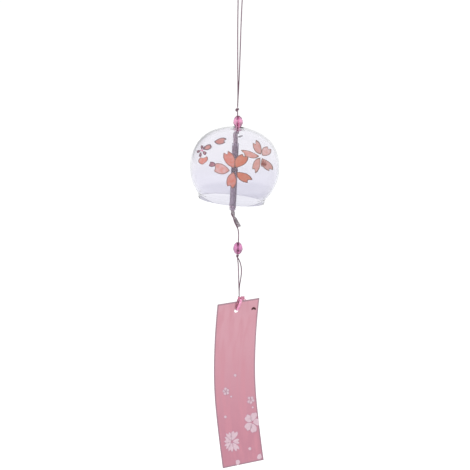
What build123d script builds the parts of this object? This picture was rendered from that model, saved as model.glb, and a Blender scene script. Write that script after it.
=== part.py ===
"""Glass furin: a blown bell on a cord loop, its clapper, two beads and a paper streamer.

Millimetres, +Z up. The origin is the inner top of the hanging loop, where a
hook carries it. +X is to the right of someone who faces the bell from -Y.
"""

from build123d import *

import os
from math import cos, degrees, pi, radians, sin, sqrt, tan

# Cord and its knots
cord_diameter = 1.0
strand_gap = 0.2
knot_radius = 1.3
knot_tilts = (35, -40)
loop_hook_radius = 1.6
hang_height = 122.6
knot_rise = 16.0
knot_tail_length = 1.2
bend_share = 0.45
hook_half_angle = 22.5

# Blown glass bell
belly_radius = 40.0
crown_flare = 10.0
crown_shift = 13.78
shoulder_blend = 30.0
lip_reach = 26.2
lip_height = 3.8
lip_draw = 0.52
lip_blend = 3.0
glass_wall = 1.3
rim_round = 0.5
hole_radius = 4.7
bell_lean = 5.6
hole_x = -1.6

# Stop under the crown: a soft clear washer on a knot
washer_radius = 6.5
washer_thickness = 1.0
washer_bore_radius = 1.5
washer_gap = 0.386
washer_round = 0.3
stop_knot_radius = 1.9
running_gap = 0.3
cord_offset = 0.95

# Faceted beads
bead_length = 11.0
bead_radius = 4.4
bead_bore_radius = 1.0
bead_sides = 8
bead_length_shares = (0.0, 0.16, 0.40, 0.60, 0.84, 1.0)
bead_radius_shares = (0.34, 0.74, 1.0, 1.0, 0.74, 0.34)
bead_seat = 0.7
bead_offset = 0.45

# Clapper: a glass tube on a braided tape
tube_radius = 3.0
tube_wall = 0.8
tube_length = 60.5
tube_round = 0.25
tube_lean = 2.5
tube_drop = 14.06
tube_offset = 1.8
tape_width = 3.8
tape_depth = 3.3
neck_bend_height = 5.0
dish_start = 1.2

# Loose end of the tape below the tube
tail_ball_radius = 1.8
tail_width = 3.4
tail_thickness = 1.3
tail_round = 0.6
tail_drop = 15.5
tail_drift = 5.8
tail_drop_shares = (0.05, 0.17, 0.30, 0.42, 0.54, 0.71, 0.88, 1.0)
tail_drift_shares = (0.0, 0.05, 0.12, 0.29, 0.45, 0.58, 0.88, 1.0)
tail_turns = (0, 25, 70, 110, 150, 180, 180, 180)

# Lower bead and the streamer's two strands
lower_bead_top = 104.2
lower_bead_offset = 0.6
lower_knot_offset = 1.05
lower_cord_offset = 0.1
slack_strand_offset = 0.2
tie_drop = 155.6
tie_offset = 0.56

# Paper streamer, bowed between three arcs
paper_length = 158.4
paper_width = 42.5
paper_thickness = 0.5
paper_yaw = 27.0
paper_roll = 2.3
paper_start = -17.0
paper_bow_radii = (338.0, 172.0, 636.0)
paper_bow_shares = (0.40, 0.28, 0.32)
paper_top_drop = 3.15
paper_top_offset = 0.45
paper_hole_radius = 2.25
paper_hole_drop = 9.4
paper_hole_offset = 1.3

# Knot that ties the streamer
tie_ball_radius = 1.3
tie_lobe_radius = 1.7
tie_lobe_reach = 2.9
tie_lobe_drop = 0.4
tie_neck_radius = 0.9
tie_tail_reach = 2.9
tie_tail_drop = 1.9
tie_tail_radius = 0.45

# Places worked out from the sizes
cord_radius = cord_diameter / 2
lean = radians(bell_lean)
bell_up = Vector(sin(lean), 0, cos(lean))
bell_side = Vector(cos(lean), 0, -sin(lean))
hole = Vector(hole_x, 0, -hang_height)
cord_x = hole_x - cord_offset
crown_radius = belly_radius + crown_flare
crown_depth = sqrt(crown_radius**2 - hole_radius**2)
belly_depth = crown_depth - crown_shift
lip_start = belly_depth + lip_reach
lip_radius = sqrt(belly_radius**2 - lip_reach**2) - lip_draw
bell_height = lip_start + lip_height
stop_reach = stop_knot_radius + running_gap
washer_drop = crown_depth - sqrt((crown_radius - glass_wall) ** 2 - washer_radius**2) + washer_gap
washer_lift = sqrt(stop_reach**2 - washer_bore_radius**2)
pivot_depth = washer_drop + washer_thickness + washer_lift
pivot_z = hole.Z - (pivot_depth - cord_offset * sin(lean)) / cos(lean)
pivot = Vector(cord_x, 0, pivot_z)
upper_knot_centre = Vector(cord_x, 0, hole.Z + knot_rise)
tube_down = Vector(-sin(radians(tube_lean)), 0, -cos(radians(tube_lean)))
tube_top = Vector(cord_x - tube_offset, 0, hole.Z - tube_drop)
tube_end = tube_top + tube_down * tube_length
lower_bead_x = cord_x + cord_offset - lower_bead_offset
lower_bead_base = hole.Z - lower_bead_top - bead_length
lower_knot_centre = Vector(hole_x - lower_knot_offset, 0, lower_bead_base - knot_radius - strand_gap)
tie_centre = Vector(hole_x + tie_offset, 0, hole.Z - tie_drop)

yaw = radians(paper_yaw)
roll = radians(paper_roll)
paper_side = Vector(cos(yaw) * cos(roll), sin(yaw) * cos(roll), sin(roll))
paper_front = Vector(sin(yaw), -cos(yaw), 0)
paper_top = tie_centre - Vector(paper_top_offset, 0, paper_top_drop)
paper_plane = Plane(origin=paper_top, x_dir=paper_front, z_dir=-paper_side)


def fillet_radii(route):
    """Radius for each corner of a cord's route, as large as its two runs allow."""
    radii = []
    for before, corner, after in zip(route, route[1:], route[2:]):
        run_in = Vector(*corner) - Vector(*before)
        run_out = Vector(*after) - Vector(*corner)
        half_turn = radians(run_in.get_angle(run_out)) / 2
        radii.append(bend_share * min(run_in.length, run_out.length) / tan(half_turn))
    return radii


def cord_solid(name, route, radius):
    """Round cord along straight runs that are joined by tangent arcs."""
    radii = fillet_radii(route)
    with BuildPart() as cord:
        with BuildLine() as path:
            FilletPolyline(*route, radius=radii)
        with BuildSketch(Plane(origin=path.line @ 0, z_dir=path.line % 0)):
            Circle(radius)
        sweep()
    cord.part.label = name
    length = path.wire().length
    fill = cord.part.volume / (pi * radius**2 * length)
    print(name, "length", round(length, 2), "fill", round(fill, 4), "radii", [round(r, 1) for r in radii])
    return cord.part


def knot_form(centre, radius):
    """Core of a knot with a turn of cord laid aslant round it, no wider than its radius."""
    with Locations(centre):
        Sphere(radius=radius - cord_radius / 2)
    for tilt in knot_tilts:
        with Locations(Location(tuple(centre), (tilt, tilt / 2, 0))):
            Torus(major_radius=radius - cord_radius, minor_radius=cord_radius)


def bell_outline(inset):
    """Radii and depths along the glass, from the hole to the rim, inset from its outside.

    The crown's arc and the belly's arc have their centres on the axis, a shift apart.
    """
    crown = crown_radius - inset
    belly = belly_radius - inset
    meet_depth = (crown_depth + belly_depth) / 2 - (crown**2 - belly**2) / (2 * crown_shift)
    meet_radius = sqrt(belly**2 - (belly_depth - meet_depth) ** 2)
    hole_depth = crown_depth - sqrt(crown**2 - hole_radius**2)
    lip_top = sqrt(belly**2 - lip_reach**2)
    return {
        "hole": (hole_radius, -hole_depth),
        "meet": (meet_radius, -meet_depth),
        "lip": (lip_top, -lip_start),
        "rim": (lip_radius - inset, -bell_height),
        "crown": crown,
        "belly": belly,
    }


# Strands of the hanging loop, round a hook of its own size
loop_centre_radius = loop_hook_radius + cord_radius
hook_side = loop_centre_radius * tan(radians(hook_half_angle))
hook_axis_z = -loop_hook_radius
pair_y = cord_radius + strand_gap / 2
knot_top_z = upper_knot_centre.Z + knot_radius + strand_gap

hanging_loop_route = [
    (cord_x, -pair_y, knot_top_z),
    (-2.25, -0.58, -96.5),
    (-2.28, -0.45, -82.3),
    (-2.50, -0.12, -58.5),
    (-2.45, 0.0, -32.2),
    (-2.12, 0.0, -10.4),
    (-loop_centre_radius, 0.0, hook_axis_z + hook_side),
    (-hook_side, 0.0, cord_radius),
    (hook_side, 0.0, cord_radius),
    (loop_centre_radius, 0.0, hook_axis_z + hook_side),
    (1.42, 0.0, -10.4),
    (0.43, 0.0, -32.2),
    (-0.35, 0.12, -58.5),
    (-1.31, 0.45, -82.3),
    (-2.13, 0.58, -96.5),
    (cord_x, pair_y, knot_top_z),
]

lower_cord_route = [
    (-8.7, -0.4, -200.2),
    (-8.25, -0.75, -202.2),
    (-7.4, -1.1, -204.6),
    (-6.5, -1.35, -207.2),
    (-5.5, -1.4, -209.4),
    (-3.9, -1.4, -211.8),
    (-2.3, -0.9, -214.0),
    (-1.65, -0.4, -217.2),
    (-1.6, 0.0, -221.6),
    (-1.95, 0.0, -229.6),
    (lower_knot_centre.X + lower_cord_offset, 0.0, lower_knot_centre.Z + knot_radius + strand_gap),
]

straight_strand_route = [
    (lower_knot_centre.X, -pair_y, lower_knot_centre.Z - knot_radius - strand_gap),
    (-1.96, -0.58, -244.85),
    (-1.59, -0.55, -256.8),
    (-1.22, -0.58, -270.7),
    (tie_centre.X, -pair_y, tie_centre.Z + tie_ball_radius + strand_gap),
]

slack_strand_route = [
    (lower_knot_centre.X + slack_strand_offset, pair_y, lower_knot_centre.Z - knot_radius - strand_gap),
    (-1.1, 0.7, -243.0),
    (0.6, 0.9, -248.0),
    (1.15, 0.95, -253.6),
    (0.5, 0.9, -259.8),
    (-0.75, 0.75, -266.4),
    (-1.15, 0.66, -271.6),
    (tie_centre.X, pair_y, tie_centre.Z + tie_ball_radius + strand_gap),
]

# Hanging loop, the knot below it and the cord that goes on through bead and hole
hanging_loop = cord_solid("hanging_loop", hanging_loop_route, cord_radius)

with BuildPart() as upper_knot:
    knot_form(upper_knot_centre, knot_radius)
    with BuildSketch(Plane(origin=upper_knot_centre, z_dir=(-1, 0, 0))):
        Circle(cord_radius)
    extrude(amount=knot_radius + knot_tail_length)
upper_knot.part.label = "upper_knot"

hanger_top = upper_knot_centre.Z - knot_radius
stop_flat = sqrt(stop_knot_radius**2 - cord_radius**2)
with BuildPart() as hanger_cord:
    with BuildSketch(Plane(origin=(cord_x, 0, hanger_top))):
        Circle(cord_radius)
    extrude(amount=-(hanger_top - pivot.Z - stop_flat))
hanger_cord.part.label = "hanger_cord"


def bead(name, axis_x, base_z):
    """Faceted oval bead on a vertical bore."""
    with BuildPart() as piece:
        for length_share, radius_share in zip(bead_length_shares, bead_radius_shares):
            with BuildSketch(Plane(origin=(axis_x, 0, base_z + bead_length * length_share))):
                RegularPolygon(radius=bead_radius * radius_share, side_count=bead_sides)
        loft(ruled=True)
        with BuildSketch(Plane(origin=(axis_x, 0, base_z))):
            Circle(bead_bore_radius)
        extrude(amount=bead_length, mode=Mode.SUBTRACT)
    piece.part.label = name
    return piece.part


upper_bead_x = cord_x + bead_offset
upper_bead = bead("upper_bead", upper_bead_x, hole.Z - bead_seat)
lower_bead = bead("lower_bead", lower_bead_x, lower_bead_base)

# Glass bell: outer and inner outlines turned round the leaning axis
bell_plane = Plane(origin=hole, x_dir=bell_side, z_dir=(0, -1, 0))
bell_axis = Axis(hole, bell_up)
with BuildPart() as glass_bell:
    with BuildSketch(bell_plane) as glass_section:
        for inset, mode in ((0, Mode.ADD), (glass_wall, Mode.SUBTRACT)):
            edge = bell_outline(inset)
            with BuildSketch(mode=Mode.PRIVATE) as filled:
                with BuildLine():
                    RadiusArc(edge["hole"], edge["meet"], edge["crown"])
                    RadiusArc(edge["meet"], edge["lip"], edge["belly"])
                    Line(edge["lip"], edge["rim"])
                    Line(edge["rim"], (hole_radius, -bell_height))
                    Line((hole_radius, -bell_height), edge["hole"])
                make_face()
                at_meet = filled.vertices().sort_by_distance(edge["meet"])[0]
                fillet(at_meet, shoulder_blend - inset)
                at_lip = filled.vertices().sort_by_distance(edge["lip"])[0]
                fillet(at_lip, lip_blend)
            add(filled.sketch, mode=mode)
        rim_corners = glass_section.vertices().group_by(Axis.Y)[0]
        fillet(rim_corners, rim_round)
    revolve(axis=bell_axis)
glass_bell.part.label = "glass_bell"

# Washer and stop knot that carry the bell on its cord
with BuildPart() as inner_washer:
    with BuildSketch(Plane(origin=pivot + bell_up * washer_lift, x_dir=bell_side, z_dir=bell_up)):
        Circle(washer_radius)
        Circle(washer_bore_radius, mode=Mode.SUBTRACT)
    extrude(amount=washer_thickness)
    rim_edges = inner_washer.edges().filter_by(GeomType.CIRCLE).group_by(SortBy.RADIUS)[-1]
    fillet(rim_edges, washer_round)
inner_washer.part.label = "inner_washer"

with BuildPart() as stop_knot:
    knot_form(pivot, stop_knot_radius)
    split(bisect_by=Plane(origin=pivot + Vector(0, 0, stop_flat)), keep=Keep.BOTTOM)
stop_knot.part.label = "stop_knot"

# Glass tube of the clapper and the braided tape that it hangs by
tube_plane = Plane(origin=tube_top, x_dir=(0, 1, 0), z_dir=tube_down)
with BuildPart() as clapper_tube:
    with BuildSketch(tube_plane):
        Circle(tube_radius)
        Circle(tube_radius - tube_wall, mode=Mode.SUBTRACT)
    extrude(amount=tube_length)
    fillet(clapper_tube.edges().filter_by(GeomType.CIRCLE), tube_round)
clapper_tube.part.label = "clapper_tube"

tape_start = pivot - Vector(0, 0, dish_start)
tape_bend = tube_top - tube_down * neck_bend_height
tape_stop = tube_end - tube_down * cord_radius
tape_route = [tape_start, tape_bend, tape_stop]
with BuildPart() as clapper_tape:
    with BuildLine() as tape_path:
        FilletPolyline(*tape_route, radius=fillet_radii([tuple(point) for point in tape_route]))
    with BuildSketch(Plane(origin=tape_path.line @ 0, x_dir=(0, 1, 0), z_dir=tape_path.line % 0)):
        Ellipse(tape_depth / 2, tape_width / 2)
    sweep()
    with Locations(pivot):
        Sphere(radius=stop_reach, mode=Mode.SUBTRACT)
    with Locations(tube_end):
        Sphere(radius=tail_ball_radius + running_gap, mode=Mode.SUBTRACT)
clapper_tape.part.label = "clapper_tape"

# Loose tape end: a bunched head in the tube's mouth, then half a twist
tail_points = [
    tube_end + Vector(tail_drift * drift, 0, -tail_drop * drop)
    for drop, drift in zip(tail_drop_shares, tail_drift_shares)
]
with BuildPart() as tape_tail:
    for index, (point, turn) in enumerate(zip(tail_points, tail_turns)):
        before = tail_points[max(index - 1, 0)]
        after = tail_points[min(index + 1, len(tail_points) - 1)]
        station = Plane(origin=point, x_dir=(0, 1, 0), z_dir=after - before)
        with BuildSketch(station.rotated((0, 0, turn))):
            RectangleRounded(tail_thickness, tail_width, tail_round)
    loft(ruled=True)
    with Locations(tube_end):
        Sphere(radius=tail_ball_radius)
tape_tail.part.label = "tape_tail"

lower_cord = cord_solid("lower_cord", lower_cord_route, cord_radius)

with BuildPart() as lower_knot:
    knot_form(lower_knot_centre, knot_radius)
lower_knot.part.label = "lower_knot"

straight_strand = cord_solid("straight_strand", straight_strand_route, cord_radius)
slack_strand = cord_solid("slack_strand", slack_strand_route, cord_radius)

# Paper streamer: front and back outlines are parallel arcs
bow_angles = [
    degrees(paper_length * share / radius) for share, radius in zip(paper_bow_shares, paper_bow_radii)
]
start_angle = radians(paper_start)


def paper_face(start, extra_radius):
    """Arcs of one face of the streamer, each tangent to the one before."""
    arcs = []
    for radius, angle in zip(paper_bow_radii, bow_angles):
        heading = (sin(start_angle), -cos(start_angle)) if not arcs else arcs[-1] % 1
        arcs.append(JernArc(start, heading, radius + extra_radius, angle))
        start = arcs[-1] @ 1
    return arcs


def on_paper(side, down, lift):
    """Point beside the streamer: across its width, down its length and off its front."""
    radius = paper_bow_radii[0]
    angle = start_angle + down / radius
    ahead = radius * (cos(start_angle) - cos(angle))
    below = radius * (sin(angle) - sin(start_angle))
    outline = (ahead + lift * cos(angle), -below + lift * sin(angle))
    return paper_plane.from_local_coords(Vector(*outline)) + paper_side * side


with BuildPart() as paper_strip:
    with BuildSketch(paper_plane) as paper_section:
        with BuildLine():
            front = paper_face((0, 0), 0)
            back_start = (-paper_thickness * cos(start_angle), -paper_thickness * sin(start_angle))
            back = paper_face(back_start, paper_thickness)
            Line(front[0] @ 0, back[0] @ 0)
            Line(front[-1] @ 1, back[-1] @ 1)
        make_face()
    extrude(amount=paper_width / 2, both=True)
    paper_hole = on_paper(-paper_hole_offset, paper_hole_drop, 0)
    hole_normal = on_paper(-paper_hole_offset, paper_hole_drop, paper_thickness) - paper_hole
    with BuildSketch(Plane(origin=paper_hole, z_dir=hole_normal)):
        Circle(paper_hole_radius)
    extrude(amount=2 * paper_thickness, both=True, mode=Mode.SUBTRACT)
paper_strip.part.label = "paper_strip"
print("hole", hole, "pivot", pivot, "tube end", tube_end, "knot", lower_knot_centre, "tie", tie_centre)
print("paper hole", paper_hole, "normal", hole_normal)

# Tie: two turns of cord through the paper's hole, and the knot beside them
front_lift = cord_radius + strand_gap + strand_gap
back_lift = -(paper_thickness + cord_radius + strand_gap + strand_gap)
turn_drop = paper_hole_drop - paper_hole_radius + cord_radius + strand_gap
tie_strand_routes = {
    "tie_strand_left": [
        (-0.6, -1.3, front_lift),
        (-1.75, 1.6, front_lift),
        (-2.1, 5.0, front_lift),
        (-1.95, turn_drop, front_lift),
        (-1.95, turn_drop, back_lift),
        (-1.2, 4.4, back_lift),
        (-0.6, 1.2, back_lift),
        (-0.3, -1.3, back_lift - strand_gap),
    ],
    "tie_strand_right": [
        (1.3, -1.3, front_lift),
        (1.05, 1.6, front_lift),
        (0.3, 5.0, front_lift),
        (-0.6, turn_drop, front_lift),
        (-0.6, turn_drop, back_lift),
        (0.3, 4.4, back_lift),
        (0.9, 1.2, back_lift),
        (1.0, -1.3, back_lift - strand_gap),
    ],
}
tie_strands = {}
for name, marks in tie_strand_routes.items():
    route = [tuple(on_paper(*mark)) for mark in marks]
    tie_strands[name] = cord_solid(name, route, cord_radius)

tie_lobe_centre = tie_centre + Vector(tie_lobe_reach * cos(yaw), tie_lobe_reach * sin(yaw), -tie_lobe_drop)
tie_tail_end = tie_lobe_centre + Vector(tie_tail_reach, 0, -tie_tail_drop)
with BuildPart() as tie_knot:
    knot_form(tie_centre, tie_ball_radius)
    knot_form(tie_lobe_centre, tie_lobe_radius)
    for reach_from, reach_to, radius in (
        (tie_centre, tie_lobe_centre, tie_neck_radius),
        (tie_lobe_centre, tie_tail_end, tie_tail_radius),
    ):
        with BuildSketch(Plane(origin=reach_from, z_dir=reach_to - reach_from)):
            Circle(radius)
        extrude(amount=(reach_to - reach_from).length)
tie_knot.part.label = "tie_knot"

pieces = [
    hanging_loop,
    upper_knot.part,
    hanger_cord.part,
    upper_bead,
    stop_knot.part,
    glass_bell.part,
    inner_washer.part,
    clapper_tube.part,
    clapper_tape.part,
    tape_tail.part,
    lower_cord,
    lower_knot.part,
    lower_bead,
    straight_strand,
    slack_strand,
    paper_strip.part,
    tie_strands["tie_strand_left"],
    tie_strands["tie_strand_right"],
    tie_knot.part,
]
os.makedirs("parts", exist_ok=True)
for piece in pieces:
    export_step(piece, f"parts/{piece.label}.step")
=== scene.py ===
"""Looks of the glass furin: blown bell, cords and knots, beads, braided tape, clapper, streamer.

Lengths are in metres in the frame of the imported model: +Z up, the origin at the
inner top of the hanging loop, and the bell faced from -Y.
"""

import logging
from collections.abc import Callable, Iterable, Sequence
from dataclasses import dataclass
from enum import Enum
from itertools import pairwise
from math import asin, atan2, cos, hypot, pi, radians, sin, sqrt, tau

import bmesh
import bpy
from mathutils import Matrix, Vector
from mathutils.bvhtree import BVHTree


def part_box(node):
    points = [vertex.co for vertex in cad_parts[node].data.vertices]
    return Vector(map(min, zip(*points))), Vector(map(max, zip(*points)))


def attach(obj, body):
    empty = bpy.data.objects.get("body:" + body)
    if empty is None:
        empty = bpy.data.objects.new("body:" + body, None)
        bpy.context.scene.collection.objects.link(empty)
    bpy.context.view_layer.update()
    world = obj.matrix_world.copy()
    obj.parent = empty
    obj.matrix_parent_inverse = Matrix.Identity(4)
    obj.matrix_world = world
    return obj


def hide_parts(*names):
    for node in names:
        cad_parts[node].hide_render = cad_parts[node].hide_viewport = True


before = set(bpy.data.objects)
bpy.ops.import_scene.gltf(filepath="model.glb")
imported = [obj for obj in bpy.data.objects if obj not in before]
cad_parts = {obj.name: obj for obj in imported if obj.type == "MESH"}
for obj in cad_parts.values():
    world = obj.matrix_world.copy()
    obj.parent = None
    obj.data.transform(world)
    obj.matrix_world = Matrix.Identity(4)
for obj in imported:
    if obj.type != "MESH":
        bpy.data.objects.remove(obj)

Place = tuple[float, float, float]
Pixel = tuple[float, float]
Span = tuple[float, float]
Colour = tuple[float, float, float, float]

log = logging.getLogger("furin")
UP = Vector((0.0, 0.0, 1.0))


class Body(Enum):
    """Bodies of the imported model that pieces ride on."""

    HANGER = "hanger"
    UPPER_BEAD = "upper_bead"
    STOP_KNOT = "stop_knot"
    BELL = "bell"
    WASHER = "washer"
    CLAPPER = "clapper"
    PULL_CORD = "pull_cord"
    LOWER_BEAD = "lower_bead"
    STREAMER_CORD = "streamer_cord"
    STREAMER = "streamer"


class Slot(Enum):
    """Material slots of the record."""

    CORD = "cord"
    BEAD = "bead"
    BELL_GLASS = "bell_glass"
    WASHER = "washer_clear"
    TUBE_GLASS = "tube_glass"
    TAPE = "tape"
    PAPER = "paper"


class FarEnd(Enum):
    """What a free cord ends in."""

    KNOT = "knot"
    OBJECT = "object"


def dye(red: int, green: int, blue: int) -> Colour:
    """Turns a colour of 0 to 255 a channel into the linear one that shaders use.

    Args:
        red: Red channel.
        green: Green channel.
        blue: Blue channel.

    Returns:
        Linear colour with full alpha.
    """

    def linear(channel: int) -> float:
        """Linear value of one channel."""
        share = channel / 255
        return share / 12.92 if share <= 0.04045 else ((share + 0.055) / 1.055) ** 2.4

    return (linear(red), linear(green), linear(blue), 1.0)


class Signal:
    """A shader socket that Python's operators work on."""

    def __init__(self, sheet: "Sheet", socket: bpy.types.NodeSocket) -> None:
        """Keeps the socket and the sheet that it is on."""
        self.sheet = sheet
        self.socket = socket

    def __add__(self, other: "Signal | float") -> "Signal":
        """Sum."""
        return self.sheet.maths("ADD", self, other)

    def __sub__(self, other: "Signal | float") -> "Signal":
        """Difference."""
        return self.sheet.maths("SUBTRACT", self, other)

    def __mul__(self, other: "Signal | float") -> "Signal":
        """Product."""
        return self.sheet.maths("MULTIPLY", self, other)

    __radd__ = __add__


class Sheet:
    """A node material, or a world, in the making."""

    def __init__(self, holder: bpy.types.Material | bpy.types.World) -> None:
        """Empties the holder's node tree.

        Args:
            holder: The material or world whose nodes are built.
        """
        holder.use_nodes = True
        self.holder = holder
        self.tree = holder.node_tree
        self.tree.nodes.clear()

    def node(
        self,
        kind: str,
        settings: dict[str, object] | None = None,
        values: dict[str | int, object] | None = None,
        output: str | int = 0,
    ) -> Signal:
        """Adds a node.

        Args:
            kind: Type of the node.
            settings: Its own settings, which are set first.
            values: A value or a signal for each input socket.
            output: The output socket to hand back.

        Returns:
            The node's output.
        """
        node = self.tree.nodes.new(kind)
        for name, setting in (settings or {}).items():
            setattr(node, name, setting)
        for name, value in (values or {}).items():
            if isinstance(value, Signal):
                self.tree.links.new(value.socket, node.inputs[name])
            else:
                node.inputs[name].default_value = value
        return Signal(self, node.outputs[output] if node.outputs else None)

    def maths(self, operation: str, first: Signal | float, second: Signal | float) -> Signal:
        """Reckons with two numbers.

        Args:
            operation: Operation of the Math node.
            first: The first number.
            second: The second one.

        Returns:
            The outcome.
        """
        return self.node("ShaderNodeMath", {"operation": operation}, {0: first, 1: second})

    def place(self) -> Signal:
        """Object coordinates."""
        return self.node("ShaderNodeTexCoord", output="Object")

    def along(self, direction: Iterable[float], start: Vector) -> Signal:
        """Distance along a direction.

        Args:
            direction: Unit direction.
            start: Point whose distance is zero.

        Returns:
            The distance in metres.
        """
        way = Vector(direction)
        reach = self.node(
            "ShaderNodeVectorMath", {"operation": "DOT_PRODUCT"}, {0: self.place(), 1: way}, "Value"
        )
        return reach - way.dot(start)

    def noise(self, size: float, detail: float = 2.0, stretch: Place = (1.0, 1.0, 1.0)) -> Signal:
        """Cloudy pattern.

        Args:
            size: Size of its patches, in metres.
            detail: Number of finer layers.
            stretch: Scale of the coordinates in each direction.

        Returns:
            A number from 0 to 1.
        """
        spot = self.node("ShaderNodeMapping", None, {"Vector": self.place(), "Scale": stretch})
        values = {"Vector": spot, "Scale": 1 / size, "Detail": detail}
        return self.node("ShaderNodeTexNoise", None, values)

    def step(self, value: Signal, low: float, high: float) -> Signal:
        """Smooth step from 0 to 1.

        Args:
            value: The number that it depends on.
            low: Where it starts.
            high: Where it is full.

        Returns:
            A number from 0 to 1.
        """
        return self.node(
            "ShaderNodeMapRange",
            {"interpolation_type": "SMOOTHSTEP"},
            {"Value": value, "From Min": low, "From Max": high},
        )

    def mix(self, share: Signal | float, first: Signal | Colour, second: Signal | Colour) -> Signal:
        """Colour between two others.

        Args:
            share: Share of the second one.
            first: The first colour.
            second: The second one.

        Returns:
            The mixed colour.
        """
        return self.node(
            "ShaderNodeMix", {"data_type": "RGBA"}, {"Factor": share, 6: first, 7: second}, 2
        )

    def edge_on(self, start: float) -> Signal:
        """Tells where a surface is seen edge on.

        Args:
            start: Share of the turn away from the eye where that starts.

        Returns:
            0 where the surface faces the eye, up to 1 at its outline.
        """
        facing = self.node("ShaderNodeLayerWeight", None, {"Blend": 0.5}, "Facing")
        return self.step(facing, start, 1.0)

    def bump(self, height: Signal, depth: float, strength: float) -> Signal:
        """Normal that a height pattern bends.

        Args:
            height: Pattern from 0 to 1.
            depth: Its depth in metres.
            strength: Share of the effect.

        Returns:
            The bent normal.
        """
        values = {"Height": height, "Distance": depth, "Strength": strength}
        return self.node("ShaderNodeBump", None, values)

    def close(self, surface: Signal) -> bpy.types.Material | bpy.types.World:
        """Links a surface to the output.

        Args:
            surface: The shader's output.

        Returns:
            The finished material or world.
        """
        kind = "World" if isinstance(self.holder, bpy.types.World) else "Material"
        self.node(f"ShaderNodeOutput{kind}", None, {"Surface": surface})
        return self.holder

    def finish(self, values: dict[str, object]) -> bpy.types.Material:
        """Ends a material in one principled surface.

        Args:
            values: A value or a signal for each of its sockets.

        Returns:
            The finished material.
        """
        return self.close(self.node("ShaderNodeBsdfPrincipled", None, values))


@dataclass(frozen=True)
class Yarn:
    """Matt twisted or braided fibre.

    Attributes:
        name: Name of the material.
        pale: Colour of the worn fibre.
        deep: Colour of the fibre in shade and in its darker spots.
        spot: Size of the spots.
        fibre: Size of the single hairs.
        fibre_depth: Depth of their relief.
        hair_share: Their share in the change of colour.
    """

    name: str
    pale: Colour
    deep: Colour
    spot: float = 0.0011
    spot_range: Span = (0.36, 0.64)
    fibre: float = 0.00009
    fibre_depth: float = 0.00005
    fibre_strength: float = 0.7
    hair_share: float = 0.25
    roughness: float = 0.82
    sheen: float = 0.25

    def material(self) -> bpy.types.Material:
        """Builds the material.

        Returns:
            The new material.
        """
        sheet = Sheet(bpy.data.materials.new(self.name))
        tone = sheet.step(sheet.noise(self.spot, 3.0), *self.spot_range)
        hairs = sheet.noise(self.fibre)
        share = tone * (1 - self.hair_share) + hairs * self.hair_share
        return sheet.finish(
            {
                "Base Color": sheet.mix(share, self.deep, self.pale),
                "Roughness": self.roughness,
                "Sheen Weight": self.sheen,
                "Sheen Roughness": 0.5,
                "Normal": sheet.bump(hairs, self.fibre_depth, self.fibre_strength),
            }
        )


@dataclass(frozen=True)
class BellGlass:
    """Clear blown glass, with a painted lavender reflection in its lower half and a painted grey
    reflection where it is seen edge on.

    Attributes:
        clear: Colour of the crown.
        lavender: Colour of the painted reflection on the lower belly.
        lip: Colour of the drawn-in lip.
        edge: Colour of the painted grey reflection where it is seen edge on.
        reflection_heights: Heights where the painted lavender reflection starts and is full.
        lip_heights: Heights where the lip's colour starts and is full.
        edge_reflection_start: Share of the turn away from the eye where the painted edge reflection
            starts.
        ripple: Size of the waves in the glass.
        ripple_depth: Their depth.
    """

    name: str = "blown_glass"
    clear: Colour = dye(243, 242, 246)
    lavender: Colour = dye(237, 236, 243)
    lip: Colour = dye(224, 223, 232)
    edge: Colour = dye(184, 190, 204)
    reflection_heights: Span = (-0.150, -0.168)
    lip_heights: Span = (-0.1755, -0.1800)
    edge_reflection_start: float = 0.68
    ripple: float = 0.018
    ripple_depth: float = 0.00008
    ripple_strength: float = 0.5
    ior: float = 1.45

    def material(self) -> bpy.types.Material:
        """Builds the material.

        Returns:
            The new material.
        """
        sheet = Sheet(bpy.data.materials.new(self.name))
        height = sheet.along(UP, Vector())
        # Painted reflection: the lower belly turns lavender.
        body = sheet.mix(sheet.step(height, *self.reflection_heights), self.clear, self.lavender)
        body = sheet.mix(sheet.step(height, *self.lip_heights), body, self.lip)
        waves = sheet.noise(self.ripple, 1.0)
        return sheet.finish(
            {
                # Painted reflection: grey where the glass is seen edge on.
                "Base Color": sheet.mix(sheet.edge_on(self.edge_reflection_start), body, self.edge),
                "Roughness": 0.0,
                "IOR": self.ior,
                "Transmission Weight": 1.0,
                "Normal": sheet.bump(waves, self.ripple_depth, self.ripple_strength),
            }
        )


@dataclass(frozen=True)
class ClearGlass:
    """Drawn or moulded glass of one tint, with a painted darker reflection where it is seen edge
    on.

    Attributes:
        name: Name of the material.
        tint: Colour of the body.
        edge: Colour of the painted darker reflection where it is seen edge on.
        roughness: Roughness of its surface.
        ior: Index of refraction.
        streak: Size of the patches where it is rougher.
        streak_roughness: Roughness that they add.
        edge_reflection_start: Share of the turn away from the eye where the painted edge reflection
            starts.
    """

    name: str
    tint: Colour
    edge: Colour
    roughness: float = 0.02
    ior: float = 1.47
    streak: float = 0.003
    streak_roughness: float = 0.02
    edge_reflection_start: float = 0.7

    def material(self) -> bpy.types.Material:
        """Builds the material.

        Returns:
            The new material.
        """
        sheet = Sheet(bpy.data.materials.new(self.name))
        streaks = sheet.noise(self.streak, 1.0)
        return sheet.finish(
            {
                # Painted reflection: darker where the glass is seen edge on.
                "Base Color": sheet.mix(sheet.edge_on(self.edge_reflection_start), self.tint, self.edge),
                "Roughness": self.roughness + streaks * self.streak_roughness,
                "IOR": self.ior,
                "Transmission Weight": 1.0,
            }
        )


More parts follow.
